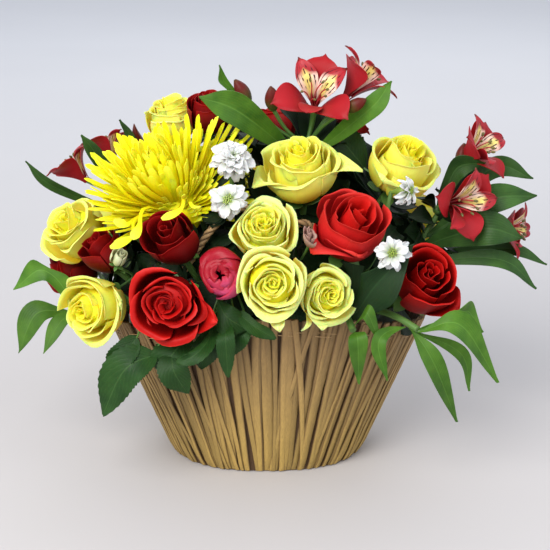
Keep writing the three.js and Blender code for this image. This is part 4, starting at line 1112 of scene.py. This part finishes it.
def basket():
    """Broad strips side by side, loose narrow ones over them, a lining and two rows of stitches."""
    rng = np.random.default_rng(SEEDS["basket"])
    strips = []
    for k in range(STRIPS):
        turn = (k + 0.3 * rng.normal()) / STRIPS
        lean = 0.008 * rng.normal()
        strips.append(strip(rng, turn, lean, (1.5, 2.3), (0.6, 0.78), (0.1, 0.8)))
    for k in range(LOOSE_STRIPS):
        turn = (k + 0.8 * rng.random()) / LOOSE_STRIPS
        lean = 0.02 * rng.normal()
        strips.append(strip(rng, turn, lean, (0.4, 1.2), (0.34, 0.62), (0.4, 1.0)))
    shown(swept("basket_strips", strips, 10, 0.42, 0.8, kraft_strip), "paper", "basket_wall")

    # The lining that shows between the strips is near-black brown: painted shade
    lining = Blades()
    turns = np.linspace(0, 1, 97)
    shares = np.linspace(0, 1, 12)[:, None]
    heights = 0.4 + (rim_height(turns) - 2.4) * shares
    lining.sheet(on_wall(turns + 0 * heights, heights, 3.1), 0.9, 0.1)
    dressed("basket_lining", lining, "paper", [shaded_kraft], "basket_wall")

    threads = []
    turns = np.linspace(0, 1, 900)
    for row, below_rim in enumerate((9, 11.5)):
        stitch = np.clip(np.sin(2 * np.pi * turns * RIM_STITCHES + row) * 2, -1, 1)
        line = on_wall(turns, rim_height(turns) - below_rim, 0.6 - stitch * STITCH_DEPTH)
        threads.append((line, THREAD_RADIUS, 0.5, unit(line * [1, 1, 0])))
    shown(swept("rim_stitches", threads, 5, 1.0, 0.0, kraft_cord), "paper", "basket_wall")


def handle(name, side):
    """A cord of twisted paper strands."""
    line = handle_line(side)
    along = unit(np.gradient(line, axis=0))
    first = unit(np.cross(along, [0, side, 0.2]))
    second = np.cross(along, first)
    run = np.concatenate([[0], np.cumsum(np.linalg.norm(np.diff(line, axis=0), axis=1))])
    strands = []
    for k in range(STRANDS):
        a = (2 * np.pi * (run / PITCH + k / STRANDS))[:, None]
        offset = (CORD_RADIUS - STRAND_RADIUS) * (np.cos(a) * first + np.sin(a) * second)
        strands.append((line + offset, STRAND_RADIUS, 0.4 + 0.2 * k, unit(offset)))
    shown(swept(name, strands, 9, 0.9, 0.25, kraft_cord), "cord", name)


# ---- Roses ----


def rose_petal(rng, t, opened, pointed, wild):
    """One petal in shares of the bloom's radius: t is 0 at the heart and 1 at the outermost."""
    v, u = blade_grid(16, 13)
    v = 1 - (1 - v) ** 1.5
    # Its profile: foot, belly and lip, which opens and sinks towards the outside
    belly = mix(0.05, mix(0.92, 0.74, opened), t**1.1)
    lip_r = belly * mix(0.8, mix(0.9, 1.12, opened), t) * (1 + 0.05 * wild * rng.normal())
    lip_z = mix(mix(0.8, 0.46, opened), mix(0.5, 0.1, opened), t**1.8)
    lip_z = lip_z + 0.1 * math.sin(math.pi * t) + 0.045 * wild * rng.normal()
    top = v * (1 - mix(0.08, 0.2, t) * np.abs(u) ** 2.4)
    rho = bezier([0.1 + 0.05 * t, belly * 1.35, belly, lip_r], top)
    high = bezier([-0.82, -0.66, 0.6 * lip_z, lip_z], top)
    # The lip rolls outwards, most at the corners of a pointed petal
    roll = smooth(top, 0.8, 1.0) * mix(0.45, 0.85, opened)
    edges = np.abs(u) ** 2.5
    rho = rho + roll * (mix(0.05, 0.13, t) + 0.13 * pointed * edges * t)
    high = high - roll**1.5 * (mix(0.04, 0.13, t) + 0.2 * pointed * edges * t)
    # Waves near the lip
    waves = smooth(top, 0.3, 1.0) * (0.4 + 0.6 * t)
    a, b, c = rng.uniform(0, 2 * math.pi, 3)
    rho = rho + wild * waves * (0.04 * np.sin(2.2 * u + a) + 0.014 * np.sin(6 * u + b))
    high = high + wild * waves * (0.05 * np.sin(2.7 * u + c) + 0.014 * np.sin(8 * u + a))
    # No two petals stand alike
    tilt, lean, broad = wild * rng.normal(size=3)
    high = high + 0.05 * tilt * u * smooth(top, 0.2, 0.9)
    rho = rho + (mix(0.02, 0.08, t) * u + 0.03 * lean * t) * smooth(top, 0.1, 0.8)
    half = mix(1.5, 1.05, t**0.5) * mix(0.6, 1.0, smooth(v, 0, 0.6)) * (1 + 0.1 * broad * t)
    return about_axis(np.maximum(rho, 0.01), half * u, high)


def rose_heart(blades, bloom):
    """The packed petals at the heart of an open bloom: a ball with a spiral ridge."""
    packed = ball(49, 20, [0.58, 0.58, 0.6], 0.1)
    blades.rings(settle(packed + [0, 0, mix(-0.05, -0.34, bloom.opened)], bloom), 0.15)


def long_petal(bloom, turn, reach, drop, width):
    """A petal that leans far out of its bloom, rolled round it at its foot, and ends in a point."""
    v, u = blade_grid(16, 11)
    rho = bezier([0.12, 1.0, 0.85, reach], v)
    high = bezier([-0.8, -0.7, 0.35, 0.35 - drop], v)
    half = width * np.sin(np.pi * mix(0.12, 0.985, v)) ** 0.9
    high = high - 0.25 * half * np.abs(u) ** 2 * smooth(v, 0.6, 0.9) + 0.02 * np.sin(7 * u + 4 * v)
    high = high + 0.3 * half * (1 - v) * np.abs(u)
    p = about_axis(rho, half * u / np.maximum(rho, 0.5), high)
    return bend_clear(bloom.placed(turned_about(p, turn)), CLEAR, [bloom.name])


def rose_blades(bloom, seed, petals, pointed, wild):
    """All the petals of a rose, each a golden turn on from the one inside it."""
    rng = np.random.default_rng(seed)
    blades = Blades()
    if bloom.opened > 0.65:
        rose_heart(blades, bloom)
    sway = rng.uniform(-0.07, 0.07, 2)
    for k in range(petals):
        t = k / (petals - 1)
        p = rose_petal(rng, t, bloom.opened, pointed, wild)
        p = turned_about(p, k * GOLDEN + rng.normal(0, 0.2))
        p[..., :2] += (1 - t) * smooth(p[..., 2], -0.5, 0.5)[..., None] * sway
        thick = mix(0.5, 0.22, smooth(np.linspace(0, 1, len(p)), 0.6, 1))[:, None, None]
        blades.sheet(settle(p, bloom), thick, 0.1 + 0.75 * t + rng.uniform(0, 0.15))
    for row in LONG_PETALS.get(bloom.name, []):
        blades.sheet(long_petal(bloom, *row), PETAL_THICK, 1.0)
    return blades


def sepals(blades, bloom, rng, long=1.0):
    """Five pointed sepals over a short neck below a bloom."""
    neck = np.linspace(0, 1, 7)
    radii = bezier([0.1, 0.13, 0.2, 0.24], neck) * bloom.radius
    line = bloom.at + np.outer(-(BASE + CUP) + 0.98 * CUP * neck, bloom.face) * bloom.radius
    blades.bar(line, radii, 10, 0.4, STALK)
    for k in range(5):
        v, u = blade_grid(11, 5)
        wide = 0.17 * np.sin(np.pi * np.clip(0.2 + 0.8 * v, 0, 1)) ** 0.8 + 0.004
        reach = mix(0.16, 0.6 * long, v) + 0.03 * np.abs(u)
        high = -BASE - 0.04 + rng.uniform(-0.16, 0.12) * v**2 + 0.02 * np.abs(u)
        p = turned_about(np.stack([reach, wide * u, high], -1), 2 * math.pi * (k + 0.2) / 5)
        p = bend_clear(bloom.placed(p), PETAL_ROOM, [bloom.name])
        blades.sheet(p, 0.5, rng.uniform(0.4, 0.9), STALK)


# ---- Stems and leaves ----


def stems_of(blades, name):
    radius, lines = STEMS[name]
    for line in lines:
        blades.bar(curve_through(line, 3 * len(line)), radius, 8, 0.35, STALK)


def up_stem(name, share):
    """The point this share of the way up a plant's main stem."""
    return curve_through(STEMS[name][1][0], 101)[int(100 * share)]


def leaf_sheet(line, width, across, toothed, front):
    """A leaf's sheet about its rib, widest below the middle, folded a little along the rib."""
    v, u = blade_grid(len(line), across)
    along = unit(np.gradient(line, axis=0))
    side = np.cross(line[-1] - line[0], front)
    side = unit(side - along * (along @ side)[:, None])
    lift = np.cross(side, along)
    if toothed:
        shape = np.sin(np.pi * mix(0.03, 0.985, v**0.9)) ** 0.72
        shape = shape * (1 - 0.1 * (1 - (v * 15) % 1) * smooth(v, 0.02, 0.2))
    else:
        shape = np.sin(np.pi * mix(0.02, 0.985, v**1.1)) ** 1.15
    half = np.maximum(0.35, width / 2 * shape)
    wave = 0.07 * width * np.sin(9 * v + 2 * np.sign(u)) * np.abs(u) ** 2
    up = 0.22 * half * np.abs(u) + wave * smooth(v, 0.1, 0.5)
    return line[:, None] + (half * u)[..., None] * side[:, None] + up[..., None] * lift[:, None]


def front_of(middle):
    """Which way a leaf faces: up, and to the front or, on the back of the basket, to the back."""
    return unit([0.003 * middle[0], 1 if middle[1] > 50 else -1, 0.45])


def long_leaf(blades, root, middle, tip, width, rng, behind):
    """A long leaf of a lily or leafy stem, near-black with painted shade where it passes behind a
    bloom.
    """
    line = curve_through([root, middle, tip], 26)
    grid = leaf_sheet(line, width, 9, False, front_of(middle))
    # A leaf behind a bloom takes the near-black finish: painted shade
    kind = PAINTED_SHADE if behind else BLADE
    grid = bend_clear(grid, LEAF_ROOM, behind)
    blades.sheet(grid, LEAF_THICK, rng.uniform(0.3, 1.0), kind)


def leaflets(blades, name, rng):
    """A plant's toothed rose leaflets, each on its stalk."""
    for share, bend, line, width in LEAFLETS.get(name, []):
        grid = leaf_sheet(curve_through(line, 46), width, 9, True, front_of(line[1]))
        grid = bend_clear(grid, LEAF_ROOM)
        blades.sheet(grid, LEAF_THICK, rng.uniform(0.3, 0.8), BLADE)
        stalk = bend_off(curve_through([up_stem(name, share), bend, grid[1, 4]], 12), CLEAR)
        blades.bar(stalk, LEAF_STALK * 0.8, 5, 0.6, STALK)


def places_to_fill():
    """Leaves of painted shade spread evenly under the blooms, each on the nearest stem: root, way
    out, tip.
    """
    rng = np.random.default_rng(SEEDS["filling"])
    tip_wander, longest = 13, 60
    samples = []
    for name, (_, lines) in STEMS.items():
        samples += [(name, p) for p in curve_through(lines[0], 40)[14:]]
    points = np.array([p for _, p in samples])
    tips = [np.array(tip, float) for tip in GAPS]
    for many, size in SHELLS:
        for k in range(many):
            rise = 1 - 1.05 * (k + 0.5) / many
            flat = math.sqrt(1 - rise * rise)
            out = np.array([flat * math.cos(k * GOLDEN), flat * math.sin(k * GOLDEN), rise])
            aside = unit(np.cross(out, rng.normal(size=3)))
            tips.append(MIDDLE + out * size + tip_wander * aside)
    rows = {name: [] for name in STEMS}
    for tip in tips:
        name, root = samples[np.argmin(np.linalg.norm(points - tip, axis=1))]
        if np.linalg.norm(root - tip) < longest:
            rows[name].append((root, unit(tip - MIDDLE), tip))
    return rows


def filling(blades, name, rng):
    """Leaves low on a stem that fill the dark gaps between the blooms, near-black with painted
    shade.
    """
    short, least = 24, 26
    for root, out, tip in FILLING[name]:
        if np.linalg.norm(tip - root) < short:
            tip = root + least * unit(tip - root)
        middle = mix(root, tip, 0.5) + 3 * out
        spine = bend_clear(curve_through([root, middle, tip], 18), 1.5)
        grid = leaf_sheet(spine, rng.uniform(17, 25), 5, False, unit(out + [0, 0, 0.2]))
        # Near-black, and darker still by its low tone: painted shade
        blades.sheet(bend_clear(grid, 0.6), 0.4, rng.uniform(0.0, 0.3), PAINTED_SHADE)


def rose(name, seed):
    """A rose's petals, and the green piece that carries them."""
    bloom = roses[name]
    finish, slot, pointed = ROSE_KINDS[name.rsplit("_", 1)[0]]
    finish = OTHER_REDS.get(name, finish)
    usual = OPEN_ROSE_PETALS if bloom.opened > 0.75 else CLOSED_ROSE_PETALS
    petals, wild = PETAL_COUNTS.get(name, (usual, 1.0))
    blades = rose_blades(bloom, SEEDS["rose"] + seed, petals, pointed, wild)
    dressed(f"{name}_petals", blades, slot, [finish], name)
    rng = np.random.default_rng(SEEDS["rose_greenery"] + seed)
    green = Blades()
    stem = name if name in whole_roses else f"{name}_stem"
    stems_of(green, stem)
    sepals(green, bloom, rng)
    filling(green, stem, rng)
    leaflets(green, stem, rng)
    dressed(f"{name}_greenery", green, "green", [rose_leaf, stalk_green, painted_shade_leaf], stem)


def plant(name, seed, leaf, cupped=()):
    """The green piece of a plant: its stems, its own leaves, the sepals under its blooms and the
    leaves that fill the gaps."""
    rng = np.random.default_rng(seed)
    green = Blades()
    stems_of(green, name)
    for share, middle, tip, width, *behind in LONG_LEAVES.get(name, []):
        long_leaf(green, up_stem(name, share), middle, tip, width, rng, behind)
    leaflets(green, name, rng)
    for bloom in cupped:
        sepals(green, bloom, rng)
    filling(green, name, rng)
    dressed(f"{name}_greenery", green, "green", [leaf, stalk_green, painted_shade_leaf], name)


# ---- The other blooms ----


def pink_petals():
    """A half-open bloom: crimson petals fold in over the heart, and pink ones hang below it."""
    rng = np.random.default_rng(SEEDS["pink_bloom"])
    blades = Blades()
    for k in range(PINK_PETALS):
        t = (k + 0.5) / PINK_PETALS
        v, u = blade_grid(16, 11)
        top = v * (1 - 0.2 * np.abs(u) ** 2)
        outer = mix(0.4, 0.92, t)
        fold = mix(0.1, 0.8, t) * rng.uniform(0.7, 1.1)
        rho = bezier([0.12, outer * 1.35, outer * 1.3, outer * 0.95, outer * fold], top)
        high = bezier([-0.84, -0.7, 0.35, mix(0.75, 0.45, t), mix(0.35, 0.3, t)], top)
        a, b = rng.uniform(0, 2 * math.pi, 2)
        waves = smooth(top, 0.4, 1)
        rho = rho + waves * (0.06 * np.sin(3.5 * u + a) + 0.02 * np.sin(9 * u + b))
        high = high + waves * (0.07 * np.sin(2.5 * u + b) + 0.02 * np.sin(8 * u + a))
        angle = mix(1.1, 0.95, t) * mix(0.8, 1, smooth(v, 0, 0.5)) * u + 0.9 * top**3
        turn = k * GOLDEN
        p = turned_about(about_axis(np.maximum(rho, 0.02), angle, high), turn)
        below = smooth(-math.sin(turn + pink_bloom.spin), -0.1, 0.8)
        blades.sheet(settle(p, pink_bloom), PETAL_THICK, mix(0.2, 1.0, below))
    dressed("pink_bloom_petals", blades, "pink_petal", [pink_petal], "pink_bloom")


def floret(line, half, fold, side):
    """A channelled floret's sheet about its line."""
    v, u = blade_grid(len(line), 4)
    along = unit(np.gradient(line, axis=0))
    side = unit(side - along * (along @ side)[:, None])
    lift = np.cross(along, side)
    half = np.maximum(half, 0.2)[:, None]
    spread = (half * u)[..., None] * side[:, None]
    return line[:, None] + spread + (fold * half * np.abs(u) ** 1.6)[..., None] * lift[:, None]


def toward(way, side, low, high):
    """How much a way leads to this side, from 0 to 1."""
    return smooth(way @ side, low, high)


def until_bloom(start, way, long):
    """How far a floret can run before it meets a neighbour, but never less than half its length.
    Those that point down or to the right in front are shorter, and those on the left, at the top
    and behind on the right longer."""
    left = toward(way, LEFT, 0.6, 0.95) * toward(way, UP, 0.05, 0.3)
    long = long * mix(1, 1.14, left) * mix(1, 1.15, toward(way, RIGHT_BACK, 0.78, 0.96))
    long = long * mix(1, 1.05, toward(way, UP, 0.8, 0.95))
    for head in heads:
        along = (head.at - start) @ way
        beside = np.linalg.norm(head.at - start - along * way)
        room = head.radius + CLEAR + 3
        if along > 0 and beside < room:
            reach = along - math.sqrt(room**2 - beside**2)
            long = min(long, max(reach, 0.5 * long))
    long = long * mix(1, 0.4, toward(way, -UP, 0.12, 0.4))
    return long * mix(1, 0.5, toward(way, RIGHT_FRONT, 0.6, 0.85))


def chrysanthemum():
    """Florets in a golden spiral round a ball, the outer ones longer and bent, and the spoons."""
    rng = np.random.default_rng(SEEDS["chrysanthemum"])
    own = Bloom("chrysanthemum", MUM_AT, MUM_FACE, 1.0)
    blades = Blades()
    v = 1 - (1 - np.linspace(0, 1, 11)) ** 1.5
    blunt = np.sqrt(1 - np.clip((v - 0.92) / 0.08, 0, 1) ** 2)
    for k in range(MUM_FLORETS):
        share = (k + 0.5) / MUM_FLORETS
        lean = math.acos(1 - 1.26 * share) + rng.normal(0, 0.05)
        long = MUM_RADIUS * mix(0.74, 1, math.sin(min(max(lean, 0), math.pi / 2)))
        long = long * rng.uniform(0.86, 1.03)
        way = turned_about(np.array([math.sin(lean), 0, math.cos(lean)]), k * GOLDEN) @ own.axes
        long = until_bloom(own.at, way, long)
        bend = lean - (0.16 * (1 - share) - 0.06 * rng.normal()) * v * v
        line = np.stack([np.sin(bend), 0 * bend, np.cos(bend)], -1)
        line = line * (long * mix(0.12, 1, v))[:, None]
        turn = k * GOLDEN + rng.normal(0, 0.05)
        line = bend_clear(own.at + turned_about(line, turn) @ own.axes, 2.0)
        side = turned_about(np.array([0.0, 1.0, 0.0]), turn) @ own.axes
        wide = mix(1.0, rng.uniform(1.7, 2.6), smooth(v, 0.1, 0.75)) * blunt
        grid = floret(line, wide, rng.uniform(0.15, 0.45), side)
        blades.sheet(grid, PETAL_THICK, rng.uniform(0.1, 1.0))
    for middle, tip, wide in SPOONS:
        root = mix(MUM_AT, np.array(middle), 0.35)
        line = bend_clear(curve_through([root, middle, tip], 14), 3.0)
        v = np.linspace(0, 1, 14)
        half = mix(1.1, wide, smooth(v, 0.45, 0.8)) * np.sqrt(np.clip((1.02 - v) / 0.16, 0, 1))
        side = np.cross(line[-1] - line[0], [0.1, -0.6, 0.8])
        blades.sheet(floret(line, half, 0.35, unit(side)), 0.5, 1.0)
    blades.rings(own.at + ball(9, 14, 0.26 * MUM_RADIUS) @ own.axes, 0.1)
    dressed("chrysanthemum_florets", blades, "mum_petal", [mum_floret], "chrysanthemum")


def daisy(name, bloom, seed):
    """A small daisy: whorls of blunt petals about an eye of tiny florets, over a green neck."""
    rng = np.random.default_rng(seed)
    blades = Blades()
    for ring, (many, reach, tilt) in enumerate(FULL_DAISY if name == "daisy_1" else LOOSE_DAISY):
        for k in range(many):
            v, u = blade_grid(9, 6)
            long = reach * rng.uniform(0.82, 1.06)
            notch = 1 - 0.1 * (1 - np.abs(u)) * smooth(v, 0.8, 1) - 0.2 * np.abs(u) ** 3 * v
            run = mix(0.12, long, v * notch)
            bow = tilt + rng.normal(0, 0.16) - rng.uniform(0.2, 0.8) * v
            wide = 0.19 * np.sin(np.pi * mix(0.1, 0.8, v**1.3)) * u * rng.uniform(0.75, 1.15)
            lift = 0.12 * np.abs(u) ** 2 + 0.05 * np.sin(5 * u + 4 * v + rng.uniform(0, 6)) * v
            high = -0.12 + 0.1 * ring + run * np.sin(bow) + lift
            turn = 2 * math.pi * (k + 0.5 * ring) / many + rng.normal(0, 0.1)
            p = turned_about(np.stack([run * np.cos(bow), wide, high], -1), turn)
            blades.sheet(settle(p, bloom), 0.35, rng.uniform(0.4, 1.0), BLADE)
    for k in range(DAISY_FLORETS):
        r = DAISY_EYE * math.sqrt((k + 0.5) / DAISY_FLORETS)
        spot = turned_about(np.array([[r, 0, 0.12]]), k * GOLDEN)[0]
        tip = spot * [1.1, 1.1, 1] + [0, 0, 0.16 - r * 0.3]
        line = bloom.placed(np.array([spot - [0, 0, 0.2], spot, tip]))
        blades.bar(line, 0.035 * bloom.radius, 5, rng.uniform(0, 1), EYE)
    neck = bloom.placed(np.outer(np.linspace(-BASE - CUP, -0.02, 6), UP))
    blades.bar(neck, np.array([0.1, 0.12, 0.2, 0.3, 0.32, 0.2]) * bloom.radius, 9, 0.3, EYE)
    dressed(f"{name}_petals", blades, "white_petal", [white_petal, daisy_eye], name)


def lily_flower(blades, bloom, spin, rng):
    """One open flower of alstroemeria with its stamens: three broad petals and, within them, two
    narrow ones with dashes side by side and a plain one opposite."""
    for k, degrees in enumerate(LILY_TURNS):
        sharp, widest, longest, foot, cupped = NARROW_PETAL if k % 2 else BROAD_PETAL
        v, u = blade_grid(18, 9)
        swell = np.sin(np.pi * mix(0.05, 0.97, v**sharp)) ** 1.1
        half = widest * np.maximum(swell, 0.05)
        reach = 0.1 + longest * v * mix(0.3, 1, v)
        high = foot + (0.92 + rng.normal(0, 0.05)) * np.sin(1.75 * v)
        high = high + cupped * half * np.abs(u) ** 2 + 0.02 * np.sin(9 * v + 3 * u + k) * v
        point = 1 - 0.5 * np.abs(u) * smooth(v, 0.86, 1)
        p = np.stack([reach * mix(1, point, 0.12), half * u, high], -1)
        p = turned_about(p, math.radians(degrees) + spin)
        p = bend_clear(bloom.placed(p), LILY_ROOM)
        blades.sheet(p, PETAL_THICK, rng.uniform(0.3, 1.0), GUIDE if k in (1, 3) else BLADE)
    for k in range(6):
        t = np.linspace(0, 1, 12)
        swing = 0.5 + 0.3 * rng.random()
        out, aside = 0.05 + 0.34 * t**1.5 * swing, 0.1 * np.sin(3 * t + k) * t
        line = np.stack([out, aside, -0.7 + 1.15 * t - 0.25 * t**3], -1)
        line = turned_about(line, k * math.pi / 3 + 0.4 + spin)
        line = bend_clear(bloom.placed(line), LILY_ROOM)
        blades.bar(line, 0.45, 5, 0.6, FILAMENT)
        way = unit(line[-1] - line[-2])
        head = np.stack([line[-1] + s * way for s in (-0.6, 0.4, 1.6, 2.6)])
        blades.bar(head, [0.4, 0.95, 0.95, 0.4], 6, rng.random(), ANTHER)


def lily_bud(blades, bloom, rng):
    """A closed bud: a pointed body with three soft ribs."""
    v = np.linspace(0, 1, 12)[:, None]
    a = 2 * np.pi * np.arange(12)[None] / 12
    r = bezier([0.28, 1.0, 0.95, 0.12], v) * (1 + 0.08 * np.cos(3 * a))
    rings = about_axis(r, a, mix(-1.25, 1.7, v) + 0 * a)
    blades.rings(bend_clear(bloom.placed(rings), 0.6), rng.uniform(0.3, 0.9), BUD)


def umbel(name, hub, flowers, buds, seed):
    """An umbel of alstroemeria: flowers and buds, and their stalks, which meet at a hub."""
    rng = np.random.default_rng(seed)
    hub = np.array(hub, float)
    blades, stalks = Blades(), Blades()
    opened = [Bloom(name, *row) for *row, _ in flowers]
    closed = [Bloom(name, *row) for row in buds]
    for bloom, (*_, spin) in zip(opened, flowers):
        lily_flower(blades, bloom, spin, rng)
    for bloom in closed:
        lily_bud(blades, bloom, rng)
    for bloom in opened + closed:
        # Where the stalk meets its flower or bud, and how thick it is there
        foot_share, end_radius = (-0.72, 2.3) if bloom in opened else (-1.1, 1.5)
        line = curve_through(side_stem(hub, bloom.out(foot_share), bloom), 14)
        line = bend_clear(line, CLEAR + THIN_STEM)
        stalks.bar(line, np.linspace(1.2, end_radius, 14), 8, rng.uniform(0.5, 1))
    stalks.rings(hub + ball(7, 10, KNOT), 0.5)
    finishes = [lily_petal, lily_guide, filament, anther, lily_bud_skin]
    dressed(f"{name}_flowers", blades, "lily_petal", finishes, name)
    dressed(f"{name}_stalks", stalks, "green", [stalk_green], name)


def bud_petals(blades, bud, rng, petals, pointed, wild, room, tones):
    """The petals of a small bud, which are like a rose's."""
    for k in range(petals):
        p = rose_petal(rng, (k + 0.5) / petals, bud.opened, pointed, wild)
        p = bend_clear(bud.placed(turned_about(p, k * GOLDEN)), room)
        blades.sheet(p, PETAL_THICK, rng.uniform(*tones), BLADE)


def side_bud():
    """A small pale bud beside the roses on the left, on a stalk of the leafy stem."""
    rng = np.random.default_rng(SEEDS["side_bud"])
    blades = Blades()
    bud = Bloom("side_bud", [-93, -80, 162], [0.4, -0.4, 0.8], 7.5, 0.1)
    bud_petals(blades, bud, rng, 7, 0.3, 0.6, 0.4, (0.3, 0.8))
    sepals(blades, bud, rng, 1.3)
    root = up_stem("leafy_stem_left", 0.72)
    stalk = curve_through([root, [-96, -50, 138], bud.out(-BASE - CUP)], 20)
    blades.bar(bend_clear(stalk, 1.5), LEAF_STALK, 6, 0.6, STALK)
    dressed("side_bud", blades, "green", [pale_bud, stalk_green], "leafy_stem_left")


def dried_bud():
    """A withered bud of the spray rose, crumpled and beige."""
    rng = np.random.default_rng(SEEDS["dried_bud"])
    blades = Blades()
    bud = Bloom("dried_bud", [26, -88, 179], [0.2, -0.5, 0.85], 8.5, 0.3)
    bud_petals(blades, bud, rng, 8, 0.8, 3.0, 0.5, (0.0, 1.0))
    fork, _ = SPRAYS["spray_rose_stem"]
    stalk = curve_through([fork, [22, -64, 158], bud.out(-BASE)], 18)
    blades.bar(bend_clear(stalk, 1.5), LEAF_STALK, 6, 0.4, STALK)
    dressed("dried_bud", blades, "green", [withered, stalk_green], "spray_rose_stem")


# ---- Building ----

# Each kind of rose: finish, slot and how pointed its petals are
ROSE_KINDS = {
    "rose_yellow": (yellow_rose, "yellow_petal", 0.45),
    "rose_red": (red_rose, "red_petal", 0.9),
}
OTHER_REDS = {
    "rose_red_2": dark_rose,
    "rose_red_3": dark_rose,
    "rose_red_4": dark_rose,
    "rose_red_5": flame_rose,
    "rose_red_7": dark_rose,
}
STEMS = all_stems()
FILLING = places_to_fill()
basket()
handle("handle_front", -1)
handle("handle_back", 1)
for seed, name in enumerate(roses):
    rose(name, seed)
for seed, (name, bloom) in enumerate(spray_roses.items()):
    blades = rose_blades(bloom, SEEDS["spray_rose"] + seed, SPRAY_ROSE_PETALS, 0.2, 1.5)
    dressed(f"{name}_petals", blades, "lemon_petal", [spray_yellow], name)
pink_petals()
chrysanthemum()
for seed, (name, bloom) in enumerate(daisies.items()):
    daisy(name, bloom, SEEDS["daisy"] + seed)
for seed, (name, (hub, flowers, buds)) in enumerate(UMBELS.items()):
    umbel(name, hub, flowers, buds, SEEDS["umbel"] + seed)
    leaf = lily_leaf if name == "alstroemeria_top" else shade_leaf
    plant(f"{name}_stem", SEEDS["umbel_greenery"] + seed, leaf)
for seed, name in enumerate(LEAFY_STEMS):
    plant(name, SEEDS["leafy_stem"] + seed, lily_leaf)
other_stems = {
    "chrysanthemum_stem": (rose_leaf, []),
    "pink_bloom_stem": (rose_leaf, [pink_bloom]),
    "spray_rose_stem": (rose_leaf, spray_roses.values()),
    "daisy_stem_left": (shade_leaf, []),
    "daisy_stem_right": (shade_leaf, []),
}
for seed, (name, (leaf, cupped)) in enumerate(other_stems.items()):
    plant(name, SEEDS["other_stem"] + seed, leaf, cupped)
side_bud()
dried_bud()

# The frame's own pieces that stay
unchanged = {"foam": foam_finish(), "liner": film_finish(), "basket_board": shaded_kraft}
for name, finish in unchanged.items():
    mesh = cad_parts[name].data
    mesh.materials.clear()
    mesh.materials.append(finish)


# ---- Floor, light and camera ----

EYE_AT, LOOK_DOWN, LENS, SENSOR = (0.0056, -1.043, 0.474), 18.5, 102.8, 36
AIM = (0, 0, 0.15)
# Soft lights: place, size, watts and colour
LIGHTS = {
    "key": ((-0.6, -1.1, 1.1), 1.0, 31, (1, 0.98, 0.95)),
    "fill": ((1.2, -0.8, 0.8), 1.2, 7, (0.95, 0.97, 1)),
    "back": ((0.2, 1.2, 1.3), 1.2, 7, (1, 1, 1)),
}
SKY, SKY_STRENGTH = (0.86, 0.9, 1.0, 1), 0.78
FLOOR_HALF = 12


def floor():
    """A pale floor that gets a little lighter and cooler behind the basket: the cooler tint is the
    wall's own colour, and the lightening is painted light for the far floor, which the lamps light
    less.
    """
    f = Finish("pale_floor")
    spot = f.spot()
    cloud = f.speckle(spot, 3)
    away = f.node("ShaderNodeSeparateXYZ", {0: spot}).outputs[1]
    far = f.span(away, start=0.1, end=1.6)
    # Lighter far off: painted light, as the lamps light the far floor less; cooler there like the
    # wall
    colour = f.ramp(far, (0.0, (0.49, 0.47, 0.465)), (1.0, (0.71, 0.715, 0.73)))
    f.into("Base Color", f.shade(colour, cloud, 0.96, 1.04))
    f.rough(cloud, 0.55, 0.7)
    mesh = bpy.data.meshes.new("floor")
    signs = ((-1, -1), (1, -1), (1, 1), (-1, 1))
    mesh.from_pydata([(x * FLOOR_HALF, y * FLOOR_HALF, 0) for x, y in signs], [], [(0, 1, 2, 3)])
    mesh.materials.append(f.material)
    ground = bpy.data.objects.new("floor", mesh)
    bpy.context.scene.collection.objects.link(ground)


def soft_light(name, place, size, watts, colour):
    """A square area light that shines at the basket."""
    light = bpy.data.lights.new(name, "AREA")
    light.size, light.energy, light.color = size, watts, colour
    lamp = bpy.data.objects.new(name, light)
    lamp.location = place
    x, y, z = np.array(AIM) - np.array(place)
    lamp.rotation_euler = (math.atan2(math.hypot(x, y), -z), 0, math.atan2(-x, y))
    bpy.context.scene.collection.objects.link(lamp)


def studio():
    """The sky, the lights and the camera, which stands where the photo was taken from."""
    world = bpy.data.worlds.new("studio")
    world.use_nodes = True
    background = world.node_tree.nodes["Background"]
    background.inputs["Color"].default_value = SKY
    background.inputs["Strength"].default_value = SKY_STRENGTH
    scene = bpy.context.scene
    scene.world = world
    scene.view_settings.view_transform = "Standard"
    for name, row in LIGHTS.items():
        soft_light(name, *row)
    camera = bpy.data.cameras.new("camera")
    camera.lens = LENS
    camera.sensor_width = SENSOR
    eye = bpy.data.objects.new("camera", camera)
    eye.location = EYE_AT
    eye.rotation_euler = (math.radians(90 - LOOK_DOWN), 0, 0)
    scene.collection.objects.link(eye)
    scene.camera = eye


floor()
studio()
